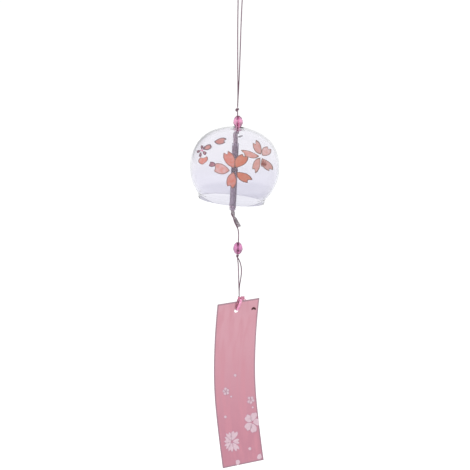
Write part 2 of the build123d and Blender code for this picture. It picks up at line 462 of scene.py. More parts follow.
@dataclass(frozen=True)
class Enamel:
    """Brushed enamel of a print, uneven as a brush leaves it.

    Attributes:
        name: Name of the material.
        thick: Colour where it lies thick.
        thin: Colour where it lies thin.
        roughness: Roughness of its surface.
        patch: Size of the thick and thin patches.
        grain: Size of its grain.
        grain_depth: Depth of the grain.
    """

    name: str
    thick: Colour
    thin: Colour
    roughness: float = 0.42
    patch: float = 0.0026
    patch_range: Span = (0.3, 0.7)
    grain: float = 0.0004
    grain_depth: float = 0.00003
    grain_strength: float = 0.5

    def material(self) -> bpy.types.Material:
        """Builds the material.

        Returns:
            The new material.
        """
        sheet = Sheet(bpy.data.materials.new(self.name))
        cover = sheet.step(sheet.noise(self.patch, 3.0), *self.patch_range)
        grain = sheet.noise(self.grain)
        return sheet.finish(
            {
                "Base Color": sheet.mix(cover, self.thin, self.thick),
                "Roughness": self.roughness,
                "Normal": sheet.bump(grain, self.grain_depth, self.grain_strength),
            }
        )


@dataclass(frozen=True)
class PhotoView:
    """The photograph's view: where the camera stands, and how a pixel looks out of it.

    Attributes:
        location: Place of the camera.
        pitch: Degrees that it looks down.
        lens: Focal length in millimetres.
        sensor: Width of the sensor in millimetres.
        size: Width and height of the photograph in pixels.
        beyond: Distance from the camera that lies behind the object.
    """

    location: Place = (-0.00484, -1.45912, 0.05566)
    pitch: float = 10.7
    lens: float = 126.38
    sensor: float = 36.0
    size: int = 470
    beyond: float = 3.0

    def set_camera(self) -> None:
        """Makes the camera the scene's own."""
        data = bpy.data.cameras.new("photo_camera")
        data.lens = self.lens
        data.sensor_width = self.sensor
        camera = bpy.data.objects.new("photo_camera", data)
        camera.location = self.location
        camera.rotation_euler = (radians(90 - self.pitch), 0.0, 0.0)
        bpy.context.scene.collection.objects.link(camera)
        bpy.context.scene.camera = camera

    def look(self, pixel: Pixel) -> Vector:
        """Finds where a pixel of the photograph looks.

        Args:
            pixel: The pixel.

        Returns:
            Unit direction of its line of sight.
        """
        focal = self.lens / self.sensor * self.size
        slope = radians(self.pitch)
        ahead = Vector((0.0, cos(slope), -sin(slope)))
        above = Vector((0.0, sin(slope), cos(slope)))
        right = (pixel[0] - self.size / 2) / focal
        down = (pixel[1] - self.size / 2) / focal
        return (ahead + Vector((right, 0.0, 0.0)) - above * down).normalized()

    def land(self, tree: BVHTree, pixel: Pixel, far_side: bool = False) -> tuple[Vector, Vector]:
        """Finds where a pixel's line of sight meets a surface.

        Args:
            tree: The surface.
            pixel: The pixel.
            far_side: True for the last meeting instead of the first.

        Returns:
            The point, and the surface's normal there, turned away from the object's inside.
        """
        start = Vector(self.location)
        way = self.look(pixel)
        if far_side:
            start = start + way * self.beyond
            way = -way
        point, normal, _, _ = tree.ray_cast(start, way)
        if point is None:
            raise ValueError(f"the line of sight of pixel {pixel} misses the surface")
        return point, normal if normal.dot(way) < 0 else -normal


def add_piece(
    name: str,
    shape: bmesh.types.BMesh,
    materials: Sequence[bpy.types.Material],
    body: Body,
    stands_for: Sequence[str] = (),
    smooth: bool = True,
    casts_shadow: bool = True,
) -> bpy.types.Object:
    """Turns a finished shape into a piece of the scene.

    Args:
        name: Name of the piece.
        shape: Its bmesh, which is freed.
        materials: Its materials, in the order of the faces' numbers.
        body: Body that it rides on.
        stands_for: Nodes of the model that it replaces.
        smooth: False for flat facets.
        casts_shadow: False for clear glass, which the lamps shine through.

    Returns:
        The new object.
    """
    mesh = bpy.data.meshes.new(name)
    for face in shape.faces:
        face.smooth = smooth
    shape.to_mesh(mesh)
    shape.free()
    for material in materials:
        mesh.materials.append(material)
    piece = bpy.data.objects.new(name, mesh)
    bpy.context.scene.collection.objects.link(piece)
    piece.visible_shadow = casts_shadow
    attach(piece, body.value)
    if stands_for:
        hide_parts(*stands_for)
    log.info("%s: %d faces on %s", name, len(mesh.polygons), body.value)
    return piece


def spline_points(route: Sequence[Place | Vector]) -> list[Vector]:
    """Points along the smooth line that a route controls.

    Args:
        route: Control points in metres.

    Returns:
        Points read from the NURBS spline.
    """
    curve = bpy.data.curves.new("route", "CURVE")
    curve.dimensions = "3D"
    curve.resolution_u = 32
    spline = curve.splines.new("NURBS")
    spline.points.add(len(route) - 1)
    for point, place in zip(spline.points, route):
        point.co = (*place, 1.0)
    spline.order_u = 3
    spline.use_endpoint_u = True
    holder = bpy.data.objects.new("route", curve)
    mesh = bpy.data.meshes.new_from_object(holder)
    points = [vertex.co.copy() for vertex in mesh.vertices]
    bpy.data.objects.remove(holder)
    bpy.data.curves.remove(curve)
    bpy.data.meshes.remove(mesh)
    return points


def even_points(points: Sequence[Vector], spacing: float) -> list[Vector]:
    """Points at an even spacing along a line.

    Args:
        points: The line.
        spacing: About the distance between two points.

    Returns:
        Points from the line's start to its end.
    """
    lengths = [0.0]
    for before, after in pairwise(points):
        lengths.append(lengths[-1] + (after - before).length)
    count = max(2, round(lengths[-1] / spacing))
    spread = []
    index = 0
    for number in range(count + 1):
        target = lengths[-1] * number / count
        while index < len(points) - 2 and lengths[index + 1] < target:
            index += 1
        run = lengths[index + 1] - lengths[index]
        share = (target - lengths[index]) / run if run else 0.0
        spread.append(points[index].lerp(points[index + 1], min(share, 1.0)))
    return spread


def stations(points: Sequence[Vector], first_side: Vector | None = None) -> list[Matrix]:
    """Frames along a line that turn no more than the line does.

    Args:
        points: Evenly spaced points of the line.
        first_side: Rough direction of the first frame's X axis.

    Returns:
        A matrix for each point: X and Y across the line, Z along it.
    """
    ways = [
        (points[min(index + 1, len(points) - 1)] - points[max(index - 1, 0)]).normalized()
        for index in range(len(points))
    ]
    mostly_along_x = abs(ways[0].x) >= 0.9
    side = first_side or Vector((0.0, 1.0, 0.0) if mostly_along_x else (1.0, 0.0, 0.0))
    frames = []
    for point, way in zip(points, ways):
        side = (side - way * side.dot(way)).normalized()
        across = way.cross(side)
        spin = Matrix((side, across, way)).transposed().to_4x4()
        frames.append(Matrix.Translation(point) @ spin)
    return frames


def ring_edges(ring: Iterable[bmesh.types.BMVert]) -> list[bmesh.types.BMEdge]:
    """Finds the edges that join the vertices of one ring.

    Args:
        ring: Its vertices.

    Returns:
        Its edges.
    """
    members = set(ring)
    nearby = {edge for vert in members for edge in vert.link_edges}
    return [edge for edge in nearby if set(edge.verts) <= members]


def only(kind: type, items: Iterable[object]) -> list:
    """Picks one kind out of what an operator made.

    Args:
        kind: Class of the items, such as the one of vertices.
        items: Vertices, edges and faces.

    Returns:
        The items of that kind.
    """
    return [item for item in items if isinstance(item, kind)]


def soften(
    shape: bmesh.types.BMesh, sharp: Sequence[object], size: float, segments: int,
    affect: str = "EDGES",
) -> None:
    """Rounds edges of a solid, or corners of an outline.

    Args:
        shape: Bmesh that they are in.
        sharp: The edges, or the corners' vertices.
        size: Width of the rounding.
        segments: Number of faces or edges that make it up.
        affect: EDGES or VERTICES.
    """
    bmesh.ops.bevel(
        shape, geom=list(sharp), offset=size, segments=segments, profile=0.5,
        affect=affect, material=-1, clamp_overlap=affect == "EDGES",
    )


def revolve(shape: bmesh.types.BMesh, turns: int, stand: Matrix) -> None:
    """Spins a closed outline about Z into a solid, and stands it in its place.

    Args:
        shape: Bmesh with the outline in its XZ plane.
        turns: Number of steps round.
        stand: Place and lean of the solid.
    """
    bmesh.ops.spin(
        shape, geom=[*shape.verts, *shape.edges], cent=(0.0, 0.0, 0.0), axis=UP,
        angle=tau, steps=turns, use_merge=True,
    )
    bmesh.ops.recalc_face_normals(shape, faces=shape.faces)
    bmesh.ops.transform(shape, matrix=stand, verts=shape.verts)


def sweep(
    shape: bmesh.types.BMesh,
    frames: Sequence[Matrix],
    sides: int,
    outline: Callable[[float], float] = lambda angle: 1.0,
    closed: bool = False,
) -> None:
    """Extrudes a ring from frame to frame.

    Args:
        shape: Bmesh that the tube goes into.
        frames: Place, turn and scale of the ring at each step.
        sides: Number of the ring's vertices.
        outline: The ring's radius at an angle, before a frame scales it.
        closed: True where the last ring meets the first.
    """
    old_faces = set(shape.faces)
    ring = bmesh.ops.create_circle(shape, cap_ends=False, radius=1.0, segments=sides)["verts"]
    for vert in ring:
        vert.co *= outline(atan2(vert.co.y, vert.co.x))
    bmesh.ops.transform(shape, matrix=frames[0], verts=ring)
    first = edges = ring_edges(ring)
    for before, after in pairwise(frames):
        grown = bmesh.ops.extrude_edge_only(shape, edges=edges)["geom"]
        ring = only(bmesh.types.BMVert, grown)
        edges = ring_edges(ring)
        bmesh.ops.transform(shape, matrix=after @ before.inverted(), verts=ring)
    if closed:
        bmesh.ops.bridge_loops(shape, edges=first + edges)
    else:
        bmesh.ops.contextual_create(shape, geom=first)
        bmesh.ops.contextual_create(shape, geom=edges)
    new_faces = [face for face in shape.faces if face not in old_faces]
    bmesh.ops.recalc_face_normals(shape, faces=new_faces)


def turned(angle: float, width: float = 1.0, depth: float = 1.0) -> Matrix:
    """Turns about a line and scales across it.

    Args:
        angle: Turn in radians.
        width: Scale along the turned X axis.
        depth: Scale along the turned Y axis.

    Returns:
        The matrix, for a frame of the line.
    """
    return Matrix.Rotation(angle, 4, "Z") @ Matrix.Diagonal((width, depth, 1.0, 1.0))


@dataclass(frozen=True)
class TwistedCord:
    """Cord of twisted plies along a smooth line.

    Attributes:
        diameter: Thickness over the plies.
        plies: Number of plies.
        lay_length: Length of one full twist.
        groove: Depth of the grooves between the plies, as a share of the radius.
        sides: Number of vertices round it.
        spacing: Length of one of its steps.
    """

    diameter: float = 0.001
    plies: int = 3
    lay_length: float = 0.0034
    groove: float = 0.08
    sides: int = 12
    spacing: float = 0.0003

    def outline(self, angle: float) -> float:
        """Shape of the plies round the cord.

        Args:
            angle: Angle in radians.

        Returns:
            Radius there, as a share of the cord's.
        """
        return 1 - self.groove + self.groove * cos(self.plies * angle)

    def lay(
        self, shape: bmesh.types.BMesh, points: Sequence[Vector], closed: bool = False
    ) -> list[Vector]:
        """Lays the cord along a line.

        Args:
            shape: Bmesh that it goes into.
            points: The line.
            closed: True where its ends meet.

        Returns:
            The evenly spaced points that it follows.
        """
        line = even_points(points, self.spacing)
        step = (line[1] - line[0]).length
        radius = self.diameter / 2
        frames = [
            spot @ turned(tau * index * step / self.lay_length, radius, radius)
            for index, spot in enumerate(stations(line))
        ]
        sweep(shape, frames, self.sides, self.outline, closed)
        return line


@dataclass
class Knot:
    """Tight knot: a closed turn of cord that passes through itself three times.

    Attributes:
        centre: Its middle.
        radius: Reach of its outermost cord.
        cord: The cord that it is tied in.
        tilt: Degrees that it is turned about X, Y and Z.
        depth: How far its turns pass in front of and behind each other, as a share of its reach.
        steps: Number of its points.
    """

    centre: Vector
    radius: float
    cord: TwistedCord
    tilt: Place = (70.0, 20.0, 15.0)
    depth: float = 1.25
    steps: int = 72

    def tie(self, shape: bmesh.types.BMesh) -> None:
        """Ties it.

        Args:
            shape: Bmesh that it goes into.
        """
        # The curve below reaches out to 3.
        reach = (self.radius - self.cord.diameter / 2) / 3
        turn = Matrix.Rotation(radians(self.tilt[2]), 4, "Z")
        turn = turn @ Matrix.Rotation(radians(self.tilt[1]), 4, "Y")
        turn = turn @ Matrix.Rotation(radians(self.tilt[0]), 4, "X")
        line = []
        for number in range(self.steps):
            angle = tau * number / self.steps
            spot = Vector(
                (
                    sin(angle) + 2 * sin(2 * angle),
                    cos(angle) - 2 * cos(2 * angle),
                    -self.depth * sin(3 * angle),
                )
            )
            line.append(self.centre + turn @ (spot * reach))
        self.cord.lay(shape, line, closed=True)


@dataclass
class CordWork:
    """The loop, the knots and the free cords between the bell and the streamer.

    Attributes:
        yarn: The cords' finish.
        cord: The cord itself.
        whipping: The close winding on it under the upper bead.
        knot_radius: Reach of a knot.
        knot_cord: The cord as it is pulled thin in a knot.
    """

    yarn: Yarn = Yarn("mauve_cord", dye(136, 98, 116), dye(88, 56, 74))
    loop_route: tuple[Place, ...] = (
        (-0.00255, -0.0006, -0.1051),
        (-0.00225, -0.00058, -0.0965),
        (-0.00228, -0.00045, -0.0823),
        (-0.0025, -0.00012, -0.0585),
        (-0.00245, 0.0, -0.0322),
        (-0.00212, 0.0, -0.0104),
        (-0.0021, 0.0, -0.00073),
        (-0.00087, 0.0, 0.0005),
        (0.00087, 0.0, 0.0005),
        (0.0021, 0.0, -0.00073),
        (0.00142, 0.0, -0.0104),
        (0.00043, 0.0, -0.0322),
        (-0.00035, 0.00012, -0.0585),
        (-0.00131, 0.00045, -0.0823),
        (-0.00213, 0.00058, -0.0965),
        (-0.00255, 0.0006, -0.1051),
    )
    loop_length: float = 0.2137
    hanger_route: tuple[Place, ...] = (
        (-0.00255, 0.0, -0.1068),
        (-0.00255, 0.0, -0.1140),
        (-0.00255, 0.0, -0.1215),
        (-0.00255, 0.0, -0.1262),
    )
    whipping_route: tuple[Place, ...] = (
        (-0.00255, 0.0, -0.1239),
        (-0.00255, 0.0, -0.1250),
        (-0.00255, 0.0, -0.1261),
    )
    upper_knot: Place = (-0.00255, 0.0, -0.1066)
    upper_knot_tail: tuple[Place, ...] = (
        (-0.0027, -0.0004, -0.1062),
        (-0.0036, -0.0009, -0.1060),
        (-0.0043, -0.0008, -0.1067),
        (-0.0041, -0.0005, -0.1078),
        (-0.0032, -0.0005, -0.1083),
    )
    lower_route: tuple[Place, ...] = (
        (-0.0083, -0.0004, -0.2002),
        (-0.0075, -0.0008, -0.2021),
        (-0.0062, -0.0012, -0.2043),
        (-0.0056, -0.0012, -0.2072),
        (-0.0047, -0.0012, -0.2094),
        (-0.0035, -0.0013, -0.2118),
        (-0.0023, -0.0009, -0.2140),
        (-0.00165, -0.0004, -0.2172),
        (-0.0016, 0.0, -0.2216),
        (-0.00195, 0.0, -0.2296),
        (-0.00255, 0.0, -0.2378),
    )
    lower_length: float = 0.0393
    lower_knot: Place = (-0.00265, 0.0, -0.2393)
    straight_route: tuple[Place, ...] = (
        (-0.00265, -0.0006, -0.2408),
        (-0.00196, -0.00058, -0.24485),
        (-0.00159, -0.00055, -0.2568),
        (-0.00122, -0.00058, -0.2707),
        (-0.00104, -0.0006, -0.2767),
    )
    straight_length: float = 0.036
    slack_route: tuple[Place, ...] = (
        (-0.00245, 0.0006, -0.2408),
        (-0.0011, 0.0007, -0.2430),
        (0.0006, 0.0009, -0.2480),
        (0.00115, 0.00095, -0.2536),
        (0.0005, 0.0009, -0.2598),
        (-0.00075, 0.00075, -0.2664),
        (-0.00115, 0.00066, -0.2716),
        (-0.00104, 0.0006, -0.2767),
    )
    slack_length: float = 0.0367
    knot_radius: float = 0.0015
    knot_cord: TwistedCord = TwistedCord(0.0009)
    cord: TwistedCord = TwistedCord()
    whipping: TwistedCord = TwistedCord(0.0019, 5, 0.002, 0.12, 20)

    def free_cord(
        self,
        name: str,
        node: str,
        route: Sequence[Place],
        body: Body,
    ) -> None:
        """Makes one free cord.

        Args:
            name: Name of the piece.
            node: Node that it stands for.
            route: Its route's points.
            body: Body that it rides on.
        """
        shape = bmesh.new()
        line = self.cord.lay(shape, spline_points(route))
        piece = add_piece(name, shape, [self.material], body, [node])

    def knot_piece(
        self, name: str, node: str, centre: Place, body: Body, tail: Sequence[Place] = ()
    ) -> bpy.types.Object:
        """Makes a knot on a cord.

        Args:
            name: Name of the piece.
            node: Node that it stands for.
            centre: Its middle.
            body: Body that it rides on.
            tail: Route of the short end that sticks out of it.

        Returns:
            The knot.
        """
        shape = bmesh.new()
        Knot(Vector(centre), self.knot_radius, self.knot_cord).tie(shape)
        if tail:
            self.knot_cord.lay(shape, spline_points(tail))
        return add_piece(name, shape, [self.material], body, [node])

    def build(self) -> None:
        """Makes every cord and its knots."""
        self.material = self.yarn.material()
        knot = self.knot_piece(
            "loop_knot", "upper_knot", self.upper_knot, Body.HANGER, self.upper_knot_tail
        )
        self.free_cord(
            "loop_cord", "hanging_loop", self.loop_route,
            Body.HANGER,
        )
        shape = bmesh.new()
        self.cord.lay(shape, spline_points(self.hanger_route))
        self.whipping.lay(shape, spline_points(self.whipping_route))
        add_piece("bead_cord", shape, [self.material], Body.HANGER, ["hanger_cord"])
        knot = self.knot_piece("pull_knot", "lower_knot", self.lower_knot, Body.PULL_CORD)
        self.free_cord(
            "pull_line", "lower_cord", self.lower_route,
            Body.PULL_CORD,
        )
        self.free_cord(
            "tight_strand", "straight_strand", self.straight_route,
            Body.STREAMER_CORD,
        )
        self.free_cord(
            "loose_strand", "slack_strand", self.slack_route,
            Body.STREAMER_CORD,
        )


@dataclass
class FacetedBeads:
    """Cut glass beads on the cord, above the bell and above the streamer.

    Attributes:
        length: Length along the bore.
        radius: Radius over the corners.
        bore: Radius of the bore.
        level_shares: Heights of the rows of corners, as shares of the length.
        radius_shares: Radii of those rows, as shares of the radius.
        worn_edge: Width of the worn strip along each edge.
        bore_reach: Reach of the end faces that stay flat, as a share of the bore's radius.
        facet_angle: Least angle in degrees between two facets.
    """

    length: float = 0.011
    radius: float = 0.0044
    bore: float = 0.0010
    sides: int = 8
    level_shares: tuple[float, ...] = (0.0, 0.16, 0.40, 0.60, 0.84, 1.0)
    radius_shares: tuple[float, ...] = (0.34, 0.74, 1.0, 1.0, 0.74, 0.34)
    worn_edge: float = 0.00010
    bore_reach: float = 1.2
    facet_angle: float = 8.0
    # The second colour of each glass is its painted darker reflection edge on.
    upper_glass: ClearGlass = ClearGlass(
        "pink_bead_glass", dye(230, 158, 194), dye(184, 120, 154), 0.04, 1.5
    )
    lower_glass: ClearGlass = ClearGlass(
        "rose_bead_glass", dye(208, 134, 180), dye(152, 96, 134), 0.04, 1.5
    )

    def shape(self, foot: Vector) -> bmesh.types.BMesh:
        """Shape of a bead.

        Args:
            foot: Lower end of its bore.

        Returns:
            Its closed bmesh.
        """
        shape = bmesh.new()
        ring = bmesh.ops.create_circle(
            shape, cap_ends=False, radius=self.bore, segments=self.sides
        )["verts"]
        first = edges = ring_edges(ring)
        radius, level = self.bore, 0.0
        rows = [
            (share * self.radius, height * self.length)
            for share, height in zip(self.radius_shares, self.level_shares)
        ]
        half_step = Matrix.Rotation(pi / self.sides, 4, "Z")
        for new_radius, new_level in [*rows, (self.bore, self.length)]:
            grown = bmesh.ops.extrude_edge_only(shape, edges=edges)["geom"]
            ring = only(bmesh.types.BMVert, grown)
            edges = ring_edges(ring)
            wider = new_radius / radius
            move = Matrix.Translation((0.0, 0.0, new_level - level))
            move = move @ Matrix.Diagonal((wider, wider, 1.0, 1.0))
            if new_level != level:
                move = move @ half_step
            bmesh.ops.transform(shape, matrix=move, verts=ring)
            radius, level = new_radius, new_level
        outside = self.bore * self.bore_reach
        facets = [face for face in shape.faces if hypot(*face.calc_center_median().xy) > outside]
        bmesh.ops.triangulate(shape, faces=facets)
        bmesh.ops.bridge_loops(shape, edges=first + edges)
        bmesh.ops.recalc_face_normals(shape, faces=shape.faces)
        sharp = radians(self.facet_angle)
        corners = [edge for edge in shape.edges if edge.calc_face_angle(0.0) > sharp]
        soften(shape, corners, self.worn_edge, 1)
        bmesh.ops.translate(shape, vec=foot, verts=shape.verts)
        return shape

    def build(self) -> None:
        """Makes both beads."""
        for name, node, body, glass in (
            ("upper_cut_bead", "upper_bead", Body.UPPER_BEAD, self.upper_glass),
            ("lower_cut_bead", "lower_bead", Body.LOWER_BEAD, self.lower_glass),
        ):
            low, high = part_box(node)
            foot = Vector(((low.x + high.x) / 2, (low.y + high.y) / 2, low.z))
            add_piece(
                name, self.shape(foot), [glass.material()], body, [node], smooth=False
            )


@dataclass
class BlownBell:
    """Thin blown bell with its holed crown, drawn-in lip and rounded rim.

    The crown's arc and the belly's arc have their centres on the axis, a shift
    apart, and a shoulder arc runs from one into the other.

    Attributes:
        hole: Middle of the crown's hole.
        lean: Degrees that the bell leans.
        lip_reach: Distance from the belly's centre down to the lip.
        lip_draw: Distance that the rim is drawn in.
        arc_steps: Number of steps of the crown, the shoulder and the belly.
        turns: Number of steps round it.
    """

    hole: Place = (-0.0016, 0.0, -0.1226)
    lean: float = 5.6
    belly_radius: float = 0.040
    crown_flare: float = 0.010
    crown_shift: float = 0.01378
    shoulder_blend: float = 0.030
    lip_reach: float = 0.0262
    lip_height: float = 0.0038
    lip_draw: float = 0.00052
    lip_soften: float = 0.0009
    wall: float = 0.0013
    rim_round: float = 0.0005
    hole_radius: float = 0.0047
    hole_round: float = 0.0004
    arc_steps: tuple[int, int, int] = (16, 24, 48)
    turns: int = 256
    glass: BellGlass = BellGlass()

    def __post_init__(self) -> None:
        """Works out the centres of the arcs."""
        self.crown_radius = self.belly_radius + self.crown_flare
        self.crown_depth = sqrt(self.crown_radius**2 - self.hole_radius**2)
        self.belly_depth = self.crown_depth - self.crown_shift
        to_crown = self.crown_radius - self.shoulder_blend
        to_belly = self.belly_radius - self.shoulder_blend
        below = (to_crown**2 - to_belly**2 + self.crown_shift**2) / (2 * self.crown_shift)
        out = sqrt(to_crown**2 - below**2)
        self.shoulder = Vector((out, 0.0, below - self.crown_depth))
        self.crown_end = atan2(out, below)
        self.shoulder_end = atan2(out, below - self.crown_shift)
        self.stand = Matrix.Translation(self.hole) @ Matrix.Rotation(radians(self.lean), 4, "Y")

    def wall_line(self, shape: bmesh.types.BMesh, inset: float) -> tuple[bmesh.types.BMVert, ...]:
        """Draws one side of the wall from the hole to the rim.

        Args:
            shape: Bmesh that the line goes into.
            inset: Distance in from the outside of the glass.

        Returns:
            The line's first vertex, the lip's corner and the last vertex.
        """
        crown = self.crown_radius - inset
        belly = self.belly_radius - inset
        start = asin(self.hole_radius / crown)
        lip = pi / 2 + asin(self.lip_reach / belly)
        arcs = (
            (Vector((0.0, 0.0, -self.crown_depth)), start, self.crown_end),
            (self.shoulder, self.crown_end, self.shoulder_end),
            (Vector((0.0, 0.0, -self.belly_depth)), self.shoulder_end, lip),
        )
        top = arcs[0][0] + Vector((self.hole_radius, 0.0, crown * cos(start)))
        first = last = bmesh.ops.create_vert(shape, co=top)["vert"][0]
        for (centre, begin, end), steps in zip(arcs, self.arc_steps):
            drawn = bmesh.ops.spin(
                shape, geom=[last], cent=centre, axis=(0.0, 1.0, 0.0),
                angle=end - begin, steps=steps,
            )
            last = drawn["geom_last"][0]
        corner = last
        rim = bmesh.ops.extrude_vert_indiv(shape, verts=[corner])["verts"][0]
        lip_radius = sqrt(self.belly_radius**2 - self.lip_reach**2) - self.lip_draw
        rim.co = (lip_radius - inset, 0.0, -(self.belly_depth + self.lip_reach + self.lip_height))
        return first, corner, rim

    def shape(self) -> bmesh.types.BMesh:
        """Shape of the whole glass.

        Returns:
            Its closed bmesh.
        """
        shape = bmesh.new()
        outer = self.wall_line(shape, 0.0)
        inner = self.wall_line(shape, self.wall)
        bmesh.ops.contextual_create(shape, geom=[outer[0], inner[0]])
        bmesh.ops.contextual_create(shape, geom=[outer[2], inner[2]])
        for corners, size, segments in (
            ((outer[1], inner[1]), self.lip_soften, 6),
            ((outer[2], inner[2]), self.rim_round, 4),
            ((outer[0], inner[0]), self.hole_round, 3),
        ):
            soften(shape, corners, size, segments, "VERTICES")
        revolve(shape, self.turns, self.stand)
        return shape

    def build(self) -> BVHTree:
        """Makes the bell.

        Returns:
            Its surface, for the prints to lie on.
        """
        shape = self.shape()
        shape.normal_update()
        surface = BVHTree.FromBMesh(shape)
        glass = self.glass.material()
        add_piece(
            "blown_bell", shape, [glass], Body.BELL, ["glass_bell"],
            casts_shadow=False,
        )
        return surface


@dataclass(frozen=True)
class Mark:
    """Outline of a print in the photograph's pixels.

    Attributes:
        base: Where a petal starts, or one end of a spot.
        left: Left tip of the petal's far end, or the spot's other end.
        right: Right tip of the petal's far end.
        width: Its greatest width.
        notch: Depth of the notch between the tips, as a share of its length.
        tone: Number of its materials' pair.
        far_side: True for a print on the far wall, seen through the glass.
        spread: Distance that the whole outline is widened.
        widest_share: Share of its length where it is widest.
        steps: Number of steps along each side.
        base_curve: How fast it widens from the base: less than 1 is fast.
        tip_curve: How late it narrows towards the tips: more than 1 is late.
        middle_share: Share of its length where its rings shrink to.
        least_gap: Least distance of the tips that shows the way across.
    """

    base: Pixel
    left: Pixel
    right: Pixel
    width: float
    notch: float = 0.17
    tone: int = 0
    far_side: bool = False
    spread: float = 0.5
    widest_share: float = 0.56
    steps: int = 9
    base_curve: float = 0.85
    tip_curve: float = 1.4
    middle_share: float = 0.52
    least_gap: float = 0.1

    def points(self) -> list[Pixel]:
        """Draws the outline, from the base to the tips and back.

        Returns:
            Its points in pixels.
        """
        base, left, right = Vector(self.base), Vector(self.left), Vector(self.right)
        run = (left + right) / 2 - base
        base = base - run.normalized() * self.spread
        run = run + run.normalized() * 2 * self.spread
        gap = right - left
        across = gap if gap.length > self.least_gap else Vector((-run.y, run.x))
        across = across.normalized()
        tip = gap.length / 2
        half = self.width / 2 + self.spread
        sides = []
        for number in range(1, self.steps):
            share = number / self.steps
            if share < self.widest_share:
                reach = half * sin(pi / 2 * (share / self.widest_share)) ** self.base_curve
            else:
                fall = (share - self.widest_share) / (1 - self.widest_share)
                reach = tip + (half - tip) * cos(pi / 2 * fall**self.tip_curve)
            sides.append((share, reach))
        spots = [base + run * share - across * reach for share, reach in sides]
        notch = base + run * (1 - self.notch)
        spots += [base + run - across * tip, notch, base + run + across * tip]
        spots += [base + run * share + across * reach for share, reach in reversed(sides)]
        return [base, *spots]

    def middle(self) -> Vector:
        """Finds the point that the print's rings shrink towards.

        Returns:
            The point in pixels.
        """
        run = (Vector(self.left) + Vector(self.right)) / 2 - Vector(self.base)
        return Vector(self.base) + run * self.middle_share


@dataclass
class Printer:
    """Lays enamel prints on a surface where the photograph shows them.

    Attributes:
        view: The photograph's view.
        surface: The surface.
        sink: Height of the enamel's underside over the surface.
        thickness: Thickness of the enamel.
        line: Width of the outline in pixels.
        least_inside: Least width in pixels that the outline leaves inside.
        inner_shares: Sizes of the rings inside the outline, which let the print follow a curve.
    """

    view: PhotoView
    surface: BVHTree
    sink: float = 0.00002
    thickness: float = 0.00006
    line: float = 0.75
    least_inside: float = 0.6
    inner_shares: tuple[float, ...] = (0.62, 0.32)

    def stamp_all(self, marks: Iterable[Mark]) -> bmesh.types.BMesh:
        """Makes some prints in one shape.

        Args:
            marks: Their outlines.

        Returns:
            A bmesh with all of them.
        """
        shape = bmesh.new()
        for mark in marks:
            self.stamp(shape, mark)
        return shape

    def stamp(self, shape: bmesh.types.BMesh, mark: Mark) -> None:
        """Adds one print.

        Args:
            shape: Bmesh that it goes into.
            mark: Its outline.
        """
        points = mark.points()
        middle = mark.middle().to_3d()
        ring = bmesh.ops.create_circle(
            shape, cap_ends=True, radius=1.0, segments=len(points)
        )["verts"]
        for vert, point in zip(ring, points):
            vert.co = (*point, 0.0)
        face = ring[0].link_faces[0]
        face.material_index = 2 * mark.tone
        made = []
        line_share = 1 - 2 * self.line / max(mark.width, 2 * self.line + self.least_inside)
        before = 1.0
        for share in (line_share, *(line_share * part for part in self.inner_shares)):
            band = bmesh.ops.inset_individual(shape, faces=[face], thickness=0.0)["faces"]
            shrink = share / before
            space = Matrix.Translation(-middle)
            bmesh.ops.scale(shape, vec=(shrink, shrink, 1.0), space=space, verts=face.verts)
            if before == 1.0:
                for item in band:
                    item.material_index += 1
            made += band
            before = share
        made += bmesh.ops.poke(shape, faces=[face])["faces"]
        grown = bmesh.ops.extrude_face_region(shape, geom=made, use_keep_orig=True)["geom"]
        raised = only(bmesh.types.BMVert, grown)
        bmesh.ops.translate(shape, vec=UP, verts=raised)
        verts = {vert for item in made for vert in item.verts}.union(raised)
        for vert in verts:
            point, normal = self.view.land(self.surface, tuple(vert.co.xy), mark.far_side)
            vert.co = point + normal * (self.sink + vert.co.z * self.thickness)
        faces = list({face for vert in verts for face in vert.link_faces})
        bmesh.ops.recalc_face_normals(shape, faces=faces)
        top = only(bmesh.types.BMFace, grown)[0]
        _, out = self.view.land(self.surface, tuple(middle.xy), mark.far_side)
        if top.normal.dot(out) < 0:
            bmesh.ops.reverse_faces(shape, faces=faces)


